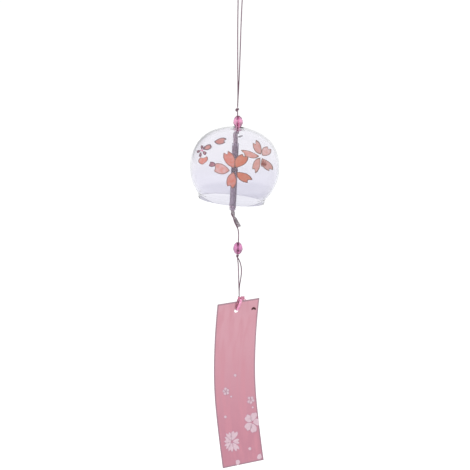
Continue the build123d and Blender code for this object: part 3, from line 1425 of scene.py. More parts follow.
@dataclass
class GlassPrints:
    """Cherry blossoms in salmon enamel on the front of the glass.

    Attributes:
        view: The photograph's view.
    """

    view: PhotoView
    front_blossom: tuple[Mark, ...] = (
        Mark((234.0, 168.0), (223.9, 153.0), (228.2, 151.2), 9.6),
        Mark((235.8, 167.4), (242.0, 154.2), (247.8, 156.4), 10.6, 0.12, 1),
        Mark((229.4, 170.3), (214.4, 171.2), (214.0, 164.2), 9.8, 0.10, 8),
        Mark((237.0, 172.3), (252.0, 179.7), (247.2, 182.7), 9.2, 0.16, 1),
        Mark((233.8, 172.6), (232.5, 188.4), (227.3, 185.8), 9.4, 0.12),
    )
    right_blossom: tuple[Mark, ...] = (
        Mark((258.6, 155.9), (245.0, 156.2), (241.0, 150.2), 8.4, 0.10, 2),
        Mark((261.0, 154.0), (253.0, 143.3), (255.9, 140.3), 7.6, 0.20, 2),
        Mark((262.7, 155.4), (267.2, 146.8), (270.7, 149.4), 8.4, 0.14, 9),
        Mark((260.0, 158.2), (255.4, 173.0), (252.3, 168.6), 8.0, 0.14, 2),
        Mark((262.2, 158.6), (272.5, 169.9), (268.9, 170.8), 8.2, 0.16, 2),
    )
    loose_petals: tuple[Mark, ...] = (
        Mark((214.6, 141.6), (225.0, 142.4), (226.2, 139.2), 6.4, 0.18, 3),
        Mark((202.4, 164.2), (200.2, 157.8), (207.0, 156.8), 8.6, 0.16),
        Mark((203.9, 149.4), (210.4, 144.6), (211.6, 146.8), 4.2, 0.04, 3),
    )
    small_blossom: tuple[Mark, ...] = (
        Mark((201.6, 149.0), (201.4, 145.4), (203.0, 145.8), 2.0, 0.06, 6, spread=0.3),
        Mark((200.4, 150.8), (197.2, 153.0), (196.8, 151.0), 2.0, 0.06, 6, spread=0.3),
        Mark((201.0, 152.4), (201.0, 157.0), (199.2, 156.4), 2.0, 0.06, 6, spread=0.3),
        Mark((203.0, 151.8), (206.6, 153.0), (205.2, 155.0), 2.8, 0.06, 6, spread=0.3),
        Mark((203.2, 149.2), (204.8, 146.2), (205.8, 147.4), 1.6, 0.06, 6, spread=0.3),
        Mark((200.6, 150.4), (203.2, 149.6), (203.2, 151.2), 1.8, 0.00, 7, spread=0.2),
    )
    bud: Mark = Mark((215.2, 165.2), (209.2, 165.8), (210.8, 161.9), 4.4, 0.04, 6)
    far_petal: Mark = Mark((238.2, 135.5), (243.0, 134.1), (243.0, 134.9), 1.0, 0.02, 4, True, 0.15)
    stamens: tuple[Mark, ...] = (
        Mark((232.8, 171.2), (235.2, 168.4), (235.8, 168.9), 0.7, 0.02, 4, spread=0.15),
        Mark((233.6, 170.4), (237.9, 169.5), (238.0, 170.3), 0.8, 0.02, 4, spread=0.2),
        Mark((234.4, 171.2), (237.6, 170.8), (237.7, 171.5), 0.8, 0.02, 4, spread=0.15),
        Mark((233.4, 169.6), (233.3, 167.6), (234.0, 167.6), 0.7, 0.02, 4, spread=0.15),
        Mark((261.4, 166.4), (261.5, 161.6), (262.5, 161.4), 1.1, 0.04, 5, spread=0.3),
        Mark((262.3, 166.8), (263.2, 160.6), (264.2, 160.8), 1.1, 0.04, 5, spread=0.3),
        Mark((263.1, 166.6), (265.0, 161.4), (265.9, 162.0), 1.1, 0.04, 5, spread=0.3),
        Mark((263.8, 166.6), (266.2, 163.0), (266.8, 163.9), 1.1, 0.04, 5, spread=0.3),
    )
    tones: tuple[tuple[str, Colour, Colour], ...] = (
        ("salmon_enamel", dye(196, 119, 108), dye(197, 141, 136)),
        ("salmon_line", dye(156, 112, 106), dye(148, 110, 106)),
        ("orange_enamel", dye(193, 115, 98), dye(195, 133, 118)),
        ("orange_line", dye(140, 100, 92), dye(134, 98, 92)),
        ("peach_enamel", dye(204, 146, 138), dye(210, 166, 164)),
        ("peach_line", dye(154, 124, 116), dye(146, 120, 114)),
        ("rose_enamel", dye(182, 124, 120), dye(190, 138, 136)),
        ("rose_line", dye(128, 106, 112), dye(118, 100, 108)),
        ("grey_enamel", dye(84, 62, 76), dye(104, 84, 94)),
        ("grey_line", dye(108, 94, 102), dye(118, 104, 112)),
        ("brown_enamel", dye(132, 76, 70), dye(156, 100, 92)),
        ("brown_line", dye(140, 84, 78), dye(150, 98, 92)),
        ("plum_enamel", dye(138, 96, 110), dye(170, 124, 134)),
        ("plum_line", dye(116, 86, 98), dye(128, 98, 108)),
        ("magenta_enamel", dye(196, 116, 154), dye(208, 146, 176)),
        ("magenta_line", dye(192, 126, 156), dye(202, 148, 172)),
        ("pink_enamel", dye(199, 138, 132), dye(203, 166, 168)),
        ("pink_line", dye(156, 120, 116), dye(148, 116, 114)),
        ("blush_enamel", dye(216, 166, 160), dye(222, 190, 192)),
        ("blush_line", dye(164, 132, 128), dye(158, 130, 128)),
    )

    def build(self, glass: BVHTree) -> None:
        """Makes the prints.

        Args:
            glass: The bell's surface.
        """
        materials = [Enamel(*tone).material() for tone in self.tones]
        printer = Printer(self.view, glass)
        for name, marks in (
            ("front_blossom", self.front_blossom),
            ("right_blossom", self.right_blossom),
            ("loose_petals", (*self.loose_petals, self.bud)),
            ("small_blossom", self.small_blossom),
            ("far_petal", (self.far_petal,)),
            ("blossom_stamens", self.stamens),
        ):
            add_piece(name, printer.stamp_all(marks), materials, Body.BELL)


@dataclass(frozen=True)
class Braid:
    """Braid of strands that wind both ways round an oval core.

    Attributes:
        strands: Number of strands that wind one way.
        pitch: Length of one turn.
        thread: Radius of a strand.
        weave: Distance that a strand rises and dips at the crossings.
        flatness: Depth of a strand, as a share of its width.
        relief_share: Height of a strand over the core, as a share of its radius.
        least_depth: Least half depth of the core.
        spacing: Length of one of its steps.
    """

    strands: int = 5
    pitch: float = 0.0072
    thread: float = 0.00040
    weave: float = 0.00016
    flatness: float = 0.62
    relief_share: float = 0.7
    least_depth: float = 0.0001
    spacing: float = 0.00045
    thread_sides: int = 6
    core_sides: int = 20

    def weave_round(
        self, shape: bmesh.types.BMesh, frames: Sequence[Matrix], halves: Sequence[Span]
    ) -> None:
        """Weaves the strands.

        Args:
            shape: Bmesh that they go into.
            frames: Evenly spaced frames along the core, X along its width.
            halves: Half width and half depth over the strands at each frame.
        """
        step = (frames[1].translation - frames[0].translation).length
        for way in (1, -1):
            for strand in range(self.strands):
                line = []
                for index, (spot, (wide, deep)) in enumerate(zip(frames, halves)):
                    turn = tau * index * step / self.pitch
                    angle = way * turn + tau * strand / self.strands
                    rise = way * self.weave * cos(self.strands * turn) - self.thread
                    across, out = (wide + rise) * cos(angle), (deep + rise) * sin(angle)
                    line.append(spot @ Vector((across, out, 0.0)))
                spots = []
                for point, spot, core in zip(line, stations(line), frames):
                    out = point - core.translation
                    along = spot.col[2].to_3d()
                    out = (out - along * out.dot(along)).normalized()
                    side = along.cross(out)
                    basis = Matrix((side, out, along)).transposed().to_4x4()
                    scale = Matrix.Diagonal((self.thread, self.thread * self.flatness, 1.0, 1.0))
                    spots.append(Matrix.Translation(point) @ basis @ scale)
                sweep(shape, spots, self.thread_sides)

    def cover(
        self, shape: bmesh.types.BMesh, frames: Sequence[Matrix], halves: Sequence[Span]
    ) -> None:
        """Fills the core and weaves the strands over it.

        Args:
            shape: Bmesh that the braid goes into.
            frames: Evenly spaced frames along the core.
            halves: Half width and half depth at each frame.
        """
        inset = self.thread * self.relief_share
        core = [
            spot @ turned(0.0, wide - inset, max(deep - inset, self.least_depth))
            for spot, (wide, deep) in zip(frames, halves)
        ]
        sweep(shape, core, self.core_sides)
        self.weave_round(shape, frames, halves)


@dataclass
class ClapperTape:
    """Braided tape: knotted under the crown, run through the glass tube, loose and twisted below.

    Attributes:
        pivot: Middle of the knot under the crown.
        tube_top: Middle of the tube's upper end.
        packed: Half width and depth where the tape fills the tube.
        bunching: Distance over which it bunches up to that.
        neck_start: Where the tape leaves the knot, from the knot's middle.
        neck_slim: Its size there, as a share of its usual one.
        neck_run: Height over which it reaches its usual size.
        tail_drop_shares: Heights down the loose end.
        tail_drift_shares: How far it has drifted aside there.
        tail_turns: Degrees that it has twisted there.
        flat_after: Number of those places after which it is flat.
    """

    pivot: Place = (-0.00255, 0.0, -0.127038)
    tube_top: Place = (-0.00435, 0.0, -0.13666)
    tube_lean: float = 2.5
    tube_length: float = 0.0605
    half_width: float = 0.0022
    half_depth: float = 0.0018
    packed: float = 0.00252
    bunching: float = 0.003
    neck_bend: float = 0.005
    neck_start: Place = (-0.0008, -0.0003, -0.0004)
    neck_turn: Place = (-0.0025, -0.0007, -0.0016)
    neck_slim: float = 0.72
    neck_run: float = 0.0008
    knot_radius: float = 0.0019
    knot_thread: TwistedCord = TwistedCord(0.0013, 5, 0.004, 0.10, 15)
    knot_tilt: Place = (80.0, 0.0, 25.0)
    knot_depth: float = 1.1
    tail_drop: float = 0.0155
    tail_drift: float = 0.0058
    tail_drop_shares: tuple[float, ...] = (-0.05, 0.05, 0.17, 0.30, 0.42, 0.54, 0.71, 0.88, 1.0)
    tail_drift_shares: tuple[float, ...] = (-0.03, 0.0, 0.05, 0.12, 0.29, 0.45, 0.58, 0.88, 1.0)
    tail_turns: tuple[float, ...] = (0, 0, 25, 70, 110, 150, 180, 180, 180)
    tail_half_width: float = 0.0019
    tail_half_depth: float = 0.00080
    mouth_half_width: float = 0.0018
    mouth_half_depth: float = 0.0015
    flat_after: int = 3
    braid: Braid = Braid()
    flat_braid: Braid = Braid(4, 0.0066, 0.00034, 0.00012)
    yarn: Yarn = Yarn("mauve_braid", dye(192, 169, 186), dye(130, 110, 127), 0.0016)
    tail_yarn: Yarn = Yarn("grey_braid", dye(184, 173, 179), dye(116, 106, 112), 0.0014)

    def __post_init__(self) -> None:
        """Works out the tube's line."""
        lean = radians(self.tube_lean)
        self.down = Vector((-sin(lean), 0.0, -cos(lean)))
        self.top = Vector(self.tube_top)
        self.end = self.top + self.down * self.tube_length

    def build(self) -> None:
        """Makes the knot, the tape and its loose end."""
        yarn = self.yarn.material()
        pivot = Vector(self.pivot)
        knot = Knot(pivot, self.knot_radius, self.knot_thread, self.knot_tilt, self.knot_depth)
        shape = bmesh.new()
        knot.tie(shape)
        add_piece("tape_stop_knot", shape, [yarn], Body.STOP_KNOT, ["stop_knot"])

        route = [
            pivot + Vector(self.neck_start),
            pivot + Vector(self.neck_turn),
            self.top - self.down * self.neck_bend,
            self.top + self.down * self.neck_bend,
            self.top.lerp(self.end, 0.5),
            self.end - self.down * self.neck_bend,
            self.end,
        ]
        line = even_points(spline_points(route), self.braid.spacing)
        frames = stations(line, Vector((1.0, 0.0, 0.0)))
        shape = bmesh.new()
        self.braid.cover(shape, frames, [self.section(point) for point in line])
        add_piece("braided_tape", shape, [yarn], Body.CLAPPER, ["clapper_tape"])
        self.build_tail()

    def section(self, point: Vector) -> Span:
        """Works out the tape's size at a point: bunched up where it fills the tube.

        Args:
            point: A point on its line.

        Returns:
            Its half width and half depth there.
        """
        inside = min((point - self.top).dot(self.down), (self.end - point).dot(self.down))
        share = min(max(inside / self.bunching, 0.0), 1.0)
        share = share * share * (3 - 2 * share)
        below_knot = self.pivot[2] + self.neck_start[2] - point.z
        full = min(max(below_knot / self.neck_run, 0.0), 1.0)
        slim = self.neck_slim + (1 - self.neck_slim) * full
        return (
            slim * (self.half_width + (self.packed - self.half_width) * share),
            slim * (self.half_depth + (self.packed - self.half_depth) * share),
        )

    def build_tail(self) -> None:
        """Makes the loose end: bunched in the tube's mouth, then flat with half a twist."""
        route = [
            self.end + Vector((self.tail_drift * drift, 0.0, -self.tail_drop * drop))
            for drop, drift in zip(self.tail_drop_shares, self.tail_drift_shares)
        ]
        line = even_points(spline_points(route), self.braid.spacing)
        spots = stations(line, Vector((0.0, 1.0, 0.0)))
        turns = self.tail_turns
        frames, halves = [], []
        for index, spot in enumerate(spots):
            share = index / (len(spots) - 1) * (len(turns) - 1)
            low = min(int(share), len(turns) - 2)
            turn = turns[low] + (turns[low + 1] - turns[low]) * (share - low)
            flat = min(1.0, share / self.flat_after)
            wide = self.mouth_half_width + (self.tail_half_width - self.mouth_half_width) * flat
            deep = self.mouth_half_depth + (self.tail_half_depth - self.mouth_half_depth) * flat
            frames.append(spot @ Matrix.Rotation(radians(turn + 90), 4, "Z"))
            halves.append((wide, deep))
        shape = bmesh.new()
        self.flat_braid.cover(shape, frames, halves)
        yarn = self.tail_yarn.material()
        add_piece("tape_end", shape, [yarn], Body.PULL_CORD, ["tape_tail"])


@dataclass
class TurnedRings:
    """Glass tube of the clapper and the clear washer under the crown.

    Attributes:
        tape: The tape that they are threaded on.
        lean: Degrees that the washer leans, with the bell.
        washer_lift: Height of its underside over the knot's middle.
    """

    tape: ClapperTape
    lean: float = 5.6
    tube_radius: float = 0.003
    tube_wall: float = 0.0008
    tube_round: float = 0.00025
    washer_radius: float = 0.0065
    washer_bore: float = 0.0015
    washer_thickness: float = 0.001
    washer_round: float = 0.0003
    washer_lift: float = 0.0016155
    turns: int = 72
    # The second colour of each is its painted darker reflection edge on.
    tube_glass: ClearGlass = ClearGlass("tube_glass", dye(238, 236, 244), dye(160, 164, 172))
    washer_plastic: ClearGlass = ClearGlass(
        "clear_washer", dye(238, 238, 240), dye(150, 156, 156), 0.25, 1.42
    )

    def ring(
        self, radius: float, bore: float, length: float, rounding: float, stand: Matrix
    ) -> bmesh.types.BMesh:
        """Shape of a turned ring.

        Args:
            radius: Outer radius.
            bore: Inner radius.
            length: Length along the axis.
            rounding: Radius of its edges.
            stand: Where it stands, its length along Z from 0.

        Returns:
            Its closed bmesh.
        """
        shape = bmesh.new()
        corners = [(radius, 0.0), (radius, length), (bore, length), (bore, 0.0)]
        verts = [
            bmesh.ops.create_vert(shape, co=(out, 0.0, height))["vert"][0]
            for out, height in corners
        ]
        for first, second in zip(verts, verts[1:] + verts[:1]):
            bmesh.ops.contextual_create(shape, geom=[first, second])
        soften(shape, verts, rounding, 4, "VERTICES")
        revolve(shape, self.turns, stand)
        return shape

    def build(self) -> None:
        """Makes the tube and the washer."""
        tape = self.tape
        stand = Matrix.Translation(tape.end) @ Matrix.Rotation(radians(tape.tube_lean), 4, "Y")
        bore = self.tube_radius - self.tube_wall
        shape = self.ring(self.tube_radius, bore, tape.tube_length, self.tube_round, stand)
        add_piece(
            "drawn_tube", shape, [self.tube_glass.material()], Body.CLAPPER,
            ["clapper_tube"], casts_shadow=False,
        )
        stand = Matrix.Translation(tape.pivot) @ Matrix.Rotation(radians(self.lean), 4, "Y")
        stand = stand @ Matrix.Translation((0.0, 0.0, self.washer_lift))
        shape = self.ring(
            self.washer_radius, self.washer_bore, self.washer_thickness, self.washer_round, stand
        )
        add_piece(
            "soft_washer", shape, [self.washer_plastic.material()], Body.WASHER,
            ["inner_washer"], casts_shadow=False,
        )


@dataclass(frozen=True)
class Card:
    """Soft pink card with faint streaks along its length, painted shade along its edges, and
    painted shade that darkens it towards the bottom.

    Attributes:
        borders: A point on each edge of the card, and the way out over it.
        upper: Its colour at the top, above the painted shade.
        lower: Its colour at the bottom, in painted shade.
        streak: Colour of the streaks.
        edge_shade: Colour of the painted shade along the edges.
        fibre: Colour of its pale fibres.
        painted_shade_heights: Heights where the painted shade towards the bottom starts and is
            full.
        streak_stretch: Scale of the streaks' pattern in each direction.
    """

    borders: tuple[tuple[Vector, Vector], ...]
    name: str = "pink_card"
    upper: Colour = dye(218, 161, 174)
    lower: Colour = dye(193, 130, 147)
    streak: Colour = dye(210, 142, 156)
    edge_shade: Colour = dye(138, 118, 130)
    fibre: Colour = dye(238, 190, 200)
    painted_shade_heights: Span = (-0.29, -0.43)
    streak_size: float = 0.0055
    streak_stretch: Place = (1.0, 1.0, 0.06)
    streak_range: Span = (0.42, 0.7)
    streak_share: float = 0.55
    edge_shade_width: float = 0.0019
    edge_shade_share: float = 0.8
    fibre_size: float = 0.00035
    fibre_share: float = 0.10
    fibre_depth: float = 0.00004
    fibre_strength: float = 0.6
    fibre_roughness: float = 0.15
    roughness: float = 0.62

    def material(self) -> bpy.types.Material:
        """Builds the material.

        Returns:
            The new material.
        """
        sheet = Sheet(bpy.data.materials.new(self.name))
        # Painted shade: the card darkens towards the bottom, away from the light above.
        painted_shade = sheet.step(sheet.along(UP, Vector()), *self.painted_shade_heights)
        colour = sheet.mix(painted_shade, self.upper, self.lower)
        cloud = sheet.noise(self.streak_size, 2.0, self.streak_stretch)
        streaks = sheet.step(cloud, *self.streak_range)
        colour = sheet.mix(streaks * self.streak_share, colour, self.streak)
        # Painted shade: a darker band along each edge, where the cut edge lies in shade.
        for point, way in self.borders:
            edge = sheet.step(sheet.along(way, point), -self.edge_shade_width, 0.0)
            colour = sheet.mix(edge * self.edge_shade_share, colour, self.edge_shade)
        fibres = sheet.noise(self.fibre_size, 4.0)
        return sheet.finish(
            {
                "Base Color": sheet.mix(fibres * self.fibre_share, colour, self.fibre),
                "Roughness": self.roughness + fibres * self.fibre_roughness,
                "Normal": sheet.bump(fibres, self.fibre_depth, self.fibre_strength),
            }
        )


@dataclass
class Streamer:
    """Bowed paper card with pale blossoms, and the cord that ties it on.

    Attributes:
        view: The photograph's view.
        top: Middle of the card's top edge.
        yaw: Degrees that it is turned about the vertical.
        roll: Degrees that it hangs askew.
        start: Degrees that its top edge leans.
        bow_radii: Radii of its three arcs, from the top down.
        bow_shares: Their shares of its length.
        left_turn: Route of the turn of cord in painted shade, as places on the flat card.
        right_turn: Route of the turn in painted light, the same cord made brighter.
        spare: Size of the surface that the prints are laid on, as shares of the card's.
        lobe_aside: Distance from the knot to the bow's lobe.
        bow_tail: Route of the cut end, from the lobe.
    """

    view: PhotoView
    top: Place = (-0.00149, 0.0, -0.28135)
    yaw: float = 27.0
    roll: float = 2.3
    start: float = -17.0
    length: float = 0.1584
    width: float = 0.0425
    thickness: float = 0.0005
    bow_radii: tuple[float, ...] = (0.338, 0.172, 0.636)
    bow_shares: tuple[float, ...] = (0.40, 0.28, 0.32)
    hole_radius: float = 0.00225
    hole_drop: float = 0.0094
    hole_offset: float = 0.0013
    edge_round: float = 0.00012
    columns: int = 34
    rows: int = 127
    spare: Span = (1.6, 1.1)
    spare_columns: int = 8
    spare_rows: int = 160
    tie: Place = (-0.00104, 0.0, -0.2782)
    left_turn: tuple[Place, ...] = (
        (-0.0010, -0.0028, 0.0006),
        (-0.0017, -0.0013, 0.0009),
        (-0.0023, 0.0016, 0.0008),
        (-0.0026, 0.0050, 0.0008),
        (-0.0020, 0.0080, 0.0008),
        (-0.0020, 0.0080, -0.0014),
        (-0.0016, 0.0044, -0.0014),
        (-0.0008, 0.0012, -0.0014),
        (-0.0003, -0.0013, -0.0016),
        (-0.0002, -0.0030, -0.0006),
    )
    right_turn: tuple[Place, ...] = (
        (0.0014, -0.0028, 0.0010),
        (0.0015, -0.0013, 0.0013),
        (0.0009, 0.0016, 0.0013),
        (-0.0003, 0.0050, 0.0013),
        (-0.0011, 0.0080, 0.0013),
        (-0.0011, 0.0080, -0.0017),
        (-0.0002, 0.0044, -0.0017),
        (0.0006, 0.0012, -0.0017),
        (0.0008, -0.0013, -0.0018),
        (0.0006, -0.0030, -0.0006),
    )
    # One pink cord in two copies: a darker one that is painted shade, a brighter one that is
    # painted light.
    shaded_tie_yarn: Yarn = Yarn("pink_cord_painted_shade", dye(184, 112, 136), dye(136, 72, 98))
    bow_yarn: Yarn = Yarn("rose_cord", dye(240, 168, 194), dye(178, 88, 124))
    lit_tie_yarn: Yarn = Yarn("pink_cord_painted_light", dye(252, 186, 214), dye(226, 138, 180))
    shaded_turn_cord: TwistedCord = TwistedCord()
    lit_turn_cord: TwistedCord = TwistedCord(0.0025, 4, 0.007, 0.08, 16)
    knot_radius: float = 0.0018
    knot_cord: TwistedCord = TwistedCord(0.0011)
    knot_tilt: Place = (60.0, 30.0, 0.0)
    lobe_aside: float = 0.0036
    lobe_drop: float = 0.0004
    lobe_radius: float = 0.0023
    lobe_cord: TwistedCord = TwistedCord(0.0015)
    lobe_tilt: Place = (85.0, 10.0, 40.0)
    bow_tail: tuple[Place, ...] = (
        (0.0, 0.0, 0.0), (0.0014, -0.0004, -0.0003), (0.0029, -0.0002, -0.0019)
    )
    tail_cord: TwistedCord = TwistedCord(0.0009)
    inks: tuple[tuple[str, Colour, Colour], ...] = (
        ("pale_print", dye(222, 196, 206), dye(214, 184, 196)),
        ("pale_print_edge", dye(200, 158, 176), dye(196, 150, 168)),
        ("maroon_print", dye(54, 4, 14), dye(68, 10, 22)),
        ("maroon_print_edge", dye(72, 14, 28), dye(92, 30, 44)),
    )
    ink_roughness: float = 0.6
    ink_sink: float = 0.00002
    ink_thickness: float = 0.00005
    ink_line: float = 0.35
    dot_tip: float = 0.3
    prints: tuple[Mark, ...] = (
        Mark((225.7, 391.0), (224.6, 387.8), (225.9, 387.5), 2.6, 0.05),
        Mark((226.2, 391.0), (228.5, 389.2), (229.2, 390.3), 2.4, 0.05),
        Mark((226.2, 391.5), (229.0, 393.4), (228.0, 394.6), 2.4, 0.05),
        Mark((225.8, 391.8), (225.3, 394.9), (224.0, 394.5), 2.4, 0.05),
        Mark((225.3, 391.3), (222.8, 391.8), (222.9, 390.4), 2.4, 0.05),
        Mark((250.3, 399.6), (247.9, 397.3), (249.0, 396.6), 2.4, 0.05),
        Mark((250.9, 399.5), (252.0, 396.4), (253.3, 396.8), 2.4, 0.05),
        Mark((251.2, 400.1), (254.3, 400.0), (254.2, 401.3), 2.4, 0.05),
        Mark((250.7, 400.5), (251.6, 403.6), (250.3, 403.9), 2.4, 0.05),
        Mark((250.2, 400.2), (248.2, 403.0), (247.3, 402.1), 2.4, 0.05),
        Mark((251.6, 421.3), (244.6, 418.6), (247.3, 414.4), 6.4, 0.04),
        Mark((252.6, 420.9), (252.4, 413.0), (256.0, 412.4), 6.4, 0.04),
        Mark((253.4, 422.4), (258.9, 419.6), (260.2, 424.0), 6.6, 0.04),
        Mark((252.7, 423.7), (255.8, 431.6), (252.2, 432.6), 6.2, 0.04),
        Mark((251.6, 423.2), (247.6, 430.8), (244.3, 426.6), 6.4, 0.04),
        Mark((236.0, 460.6), (239.9, 462.4), (238.4, 464.9), 4.6, 0.04),
        Mark((257.0, 458.2), (260.6, 453.6), (261.9, 457.4), 4.4, 0.04),
        Mark((231.2, 441.2), (224.2, 441.6), (224.8, 437.2), 5.4, 0.26, widest_share=0.7),
        Mark((231.4, 440.4), (226.0, 433.4), (229.2, 432.0), 4.6, 0.24, widest_share=0.7),
        Mark((232.2, 440.4), (233.2, 430.9), (237.2, 431.6), 6.0, 0.20, widest_share=0.7),
        Mark((233.0, 441.4), (239.2, 439.4), (239.4, 443.0), 4.6, 0.26, widest_share=0.7),
        Mark((232.8, 442.6), (239.4, 449.4), (236.6, 451.2), 4.8, 0.24, widest_share=0.7),
        Mark((231.8, 442.8), (232.0, 452.0), (228.6, 451.2), 4.4, 0.24, widest_share=0.7),
        Mark((231.0, 442.4), (226.0, 449.0), (224.4, 446.0), 4.4, 0.26, widest_share=0.7),
    )
    dots: tuple[tuple[Pixel, float], ...] = (
        ((235.0, 375.3), 2.6),
        ((231.1, 396.6), 1.7),
        ((252.6, 407.3), 1.8),
        ((225.3, 416.9), 2.4),
        ((249.7, 448.6), 2.8),
    )
    crescent: Mark = Mark(
        (253.7, 307.0), (251.5, 310.1), (255.8, 309.9), 4.2, 0.27, 1, spread=0.1
    )

    def __post_init__(self) -> None:
        """Works out the card's directions and its three arcs."""
        yaw, roll = radians(self.yaw), radians(self.roll)
        self.side = Vector((cos(yaw) * cos(roll), sin(yaw) * cos(roll), sin(roll)))
        self.front = Vector((sin(yaw), -cos(yaw), 0.0))
        self.rise = self.front.cross(self.side)
        self.origin = Vector(self.top)

    def roll_up(self, side: float, down: float, lift: float) -> Vector:
        """Point of the bowed card from its place on the flat one.

        Args:
            side: Distance across from the middle.
            down: Distance down from the top edge.
            lift: Height off the front.

        Returns:
            The point in space.
        """
        angle, ahead, fall, left = radians(self.start), 0.0, 0.0, down
        last = len(self.bow_radii) - 1
        for index, (radius, share) in enumerate(zip(self.bow_radii, self.bow_shares)):
            run = left if index == last else min(left, self.length * share)
            turn = run / radius
            ahead += radius * (cos(angle) - cos(angle + turn))
            fall += radius * (sin(angle + turn) - sin(angle))
            angle += turn
            left -= run
            if left <= 0:
                break
        ahead += lift * cos(angle)
        fall -= lift * sin(angle)
        return self.origin + self.front * ahead - self.rise * fall + self.side * side

    def flat_grid(self, columns: int, rows: int, spare: Span = (1.0, 1.0)) -> bmesh.types.BMesh:
        """Lays out the flat card, or one that is larger all round.

        Args:
            columns: Number of its faces across.
            rows: Number of its faces down.
            spare: Its width and its length, as shares of the card's.

        Returns:
            A bmesh, its Y axis down the card from the top edge.
        """
        shape = bmesh.new()
        bmesh.ops.create_grid(shape, x_segments=columns, y_segments=rows, size=0.5)
        width, length = self.width * spare[0], self.length * spare[1]
        flat = Matrix.Translation((0.0, self.length / 2, 0.0))
        flat = flat @ Matrix.Diagonal((width, length, 1.0, 1.0))
        bmesh.ops.transform(shape, matrix=flat, verts=shape.verts)
        return shape

    def bow(self, shape: bmesh.types.BMesh) -> None:
        """Bends a flat shape into the card's bow.

        Args:
            shape: Bmesh laid out as the flat card.
        """
        for vert in shape.verts:
            vert.co = self.roll_up(*vert.co)

    def punch(self, shape: bmesh.types.BMesh) -> None:
        """Punches the tie's hole.

        Args:
            shape: Bmesh of the flat card.
        """
        hole = Vector((-self.hole_offset, self.hole_drop, 0.0))
        inside = [
            face
            for face in shape.faces
            if (face.calc_center_median() - hole).length < self.hole_radius
        ]
        bmesh.ops.delete(shape, geom=inside, context="FACES")

        def rim() -> list[bmesh.types.BMEdge]:
            """Edges round the hole."""
            reach = 2 * self.hole_radius
            edges = (edge for edge in shape.edges if edge.is_boundary)
            return [edge for edge in edges if (edge.verts[0].co - hole).length < reach]

        bmesh.ops.subdivide_edges(shape, edges=rim(), cuts=1)
        for vert in {vert for edge in rim() for vert in edge.verts}:
            vert.co = hole + (vert.co - hole).normalized() * self.hole_radius

    def card_shape(self) -> bmesh.types.BMesh:
        """Cuts the flat card, punches its hole, softens its edges and bows it.

        Returns:
            Its closed bmesh.
        """
        shape = self.flat_grid(self.columns, self.rows)
        self.punch(shape)
        front = shape.faces[:]
        grown = bmesh.ops.extrude_face_region(shape, geom=front, use_keep_orig=True)["geom"]
        back = only(bmesh.types.BMVert, grown)
        bmesh.ops.translate(shape, vec=(0.0, 0.0, -self.thickness), verts=back)
        bmesh.ops.recalc_face_normals(shape, faces=shape.faces)
        cut = [edge for edge in shape.edges if edge.calc_face_angle(0.0) > radians(60)]
        soften(shape, cut, self.edge_round, 2)
        self.bow(shape)
        bmesh.ops.recalc_face_normals(shape, faces=shape.faces)
        if shape.calc_volume(signed=True) < 0:
            bmesh.ops.reverse_faces(shape, faces=shape.faces)
        return shape

    def wide_surface(self) -> BVHTree:
        """Carries the card's front on past its edges, for the prints to be cut on.

        Returns:
            The wider surface.
        """
        shape = self.flat_grid(self.spare_columns, self.spare_rows, self.spare)
        self.bow(shape)
        shape.normal_update()
        surface = BVHTree.FromBMesh(shape)
        shape.free()
        return surface

    def borders(self) -> tuple[tuple[Vector, Vector], ...]:
        """Finds the card's four edges.

        Returns:
            A point just inside each edge, and the way out over it.
        """
        half = self.width / 2 - self.edge_round
        inwards = 0.001
        ends = []
        for down, beside in (
            (self.edge_round, inwards), (self.length - self.edge_round, -inwards)
        ):
            point = self.roll_up(0.0, down, 0.0)
            ends.append((point, (point - self.roll_up(0.0, down + beside, 0.0)).normalized()))
        return (
            (self.origin + self.side * half, self.side),
            (self.origin - self.side * half, -self.side),
            *ends,
        )

    def trim(self, shape: bmesh.types.BMesh) -> None:
        """Cuts the prints off at the card's edges.

        Args:
            shape: Bmesh of the prints.
        """
        for point, way in self.borders():
            cut = bmesh.ops.bisect_plane(
                shape, geom=[*shape.verts, *shape.edges, *shape.faces],
                plane_co=point, plane_no=way, clear_outer=True,
            )["geom_cut"]
            bmesh.ops.holes_fill(shape, edges=only(bmesh.types.BMEdge, cut), sides=0)

    def build(self) -> None:
        """Makes the card, its prints and its tie."""
        paper = Card(self.borders()).material()
        add_piece(
            "bowed_card", self.card_shape(), [paper], Body.STREAMER, ["paper_strip"]
        )
        surface = self.wide_surface()
        inks = [Enamel(*ink, self.ink_roughness).material() for ink in self.inks]
        printer = Printer(self.view, surface, self.ink_sink, self.ink_thickness, self.ink_line)
        dots = (self.dot(spot, size) for spot, size in self.dots)
        shape = printer.stamp_all((*self.prints, *dots, self.crescent))
        self.trim(shape)
        add_piece("card_prints", shape, inks, Body.STREAMER)
        self.build_tie()

    def dot(self, spot: Pixel, size: float) -> Mark:
        """Draws a round print.

        Args:
            spot: Its middle.
            size: Its width.

        Returns:
            Its outline.
        """
        left, right = spot[0] - size / 2, spot[0] + size / 2
        tips = (right, spot[1] + self.dot_tip), (right, spot[1] - self.dot_tip)
        return Mark((left, spot[1]), *tips, size, 0.0)

    def build_tie(self) -> None:
        """Makes the two turns of cord through the hole and the knot beside them."""
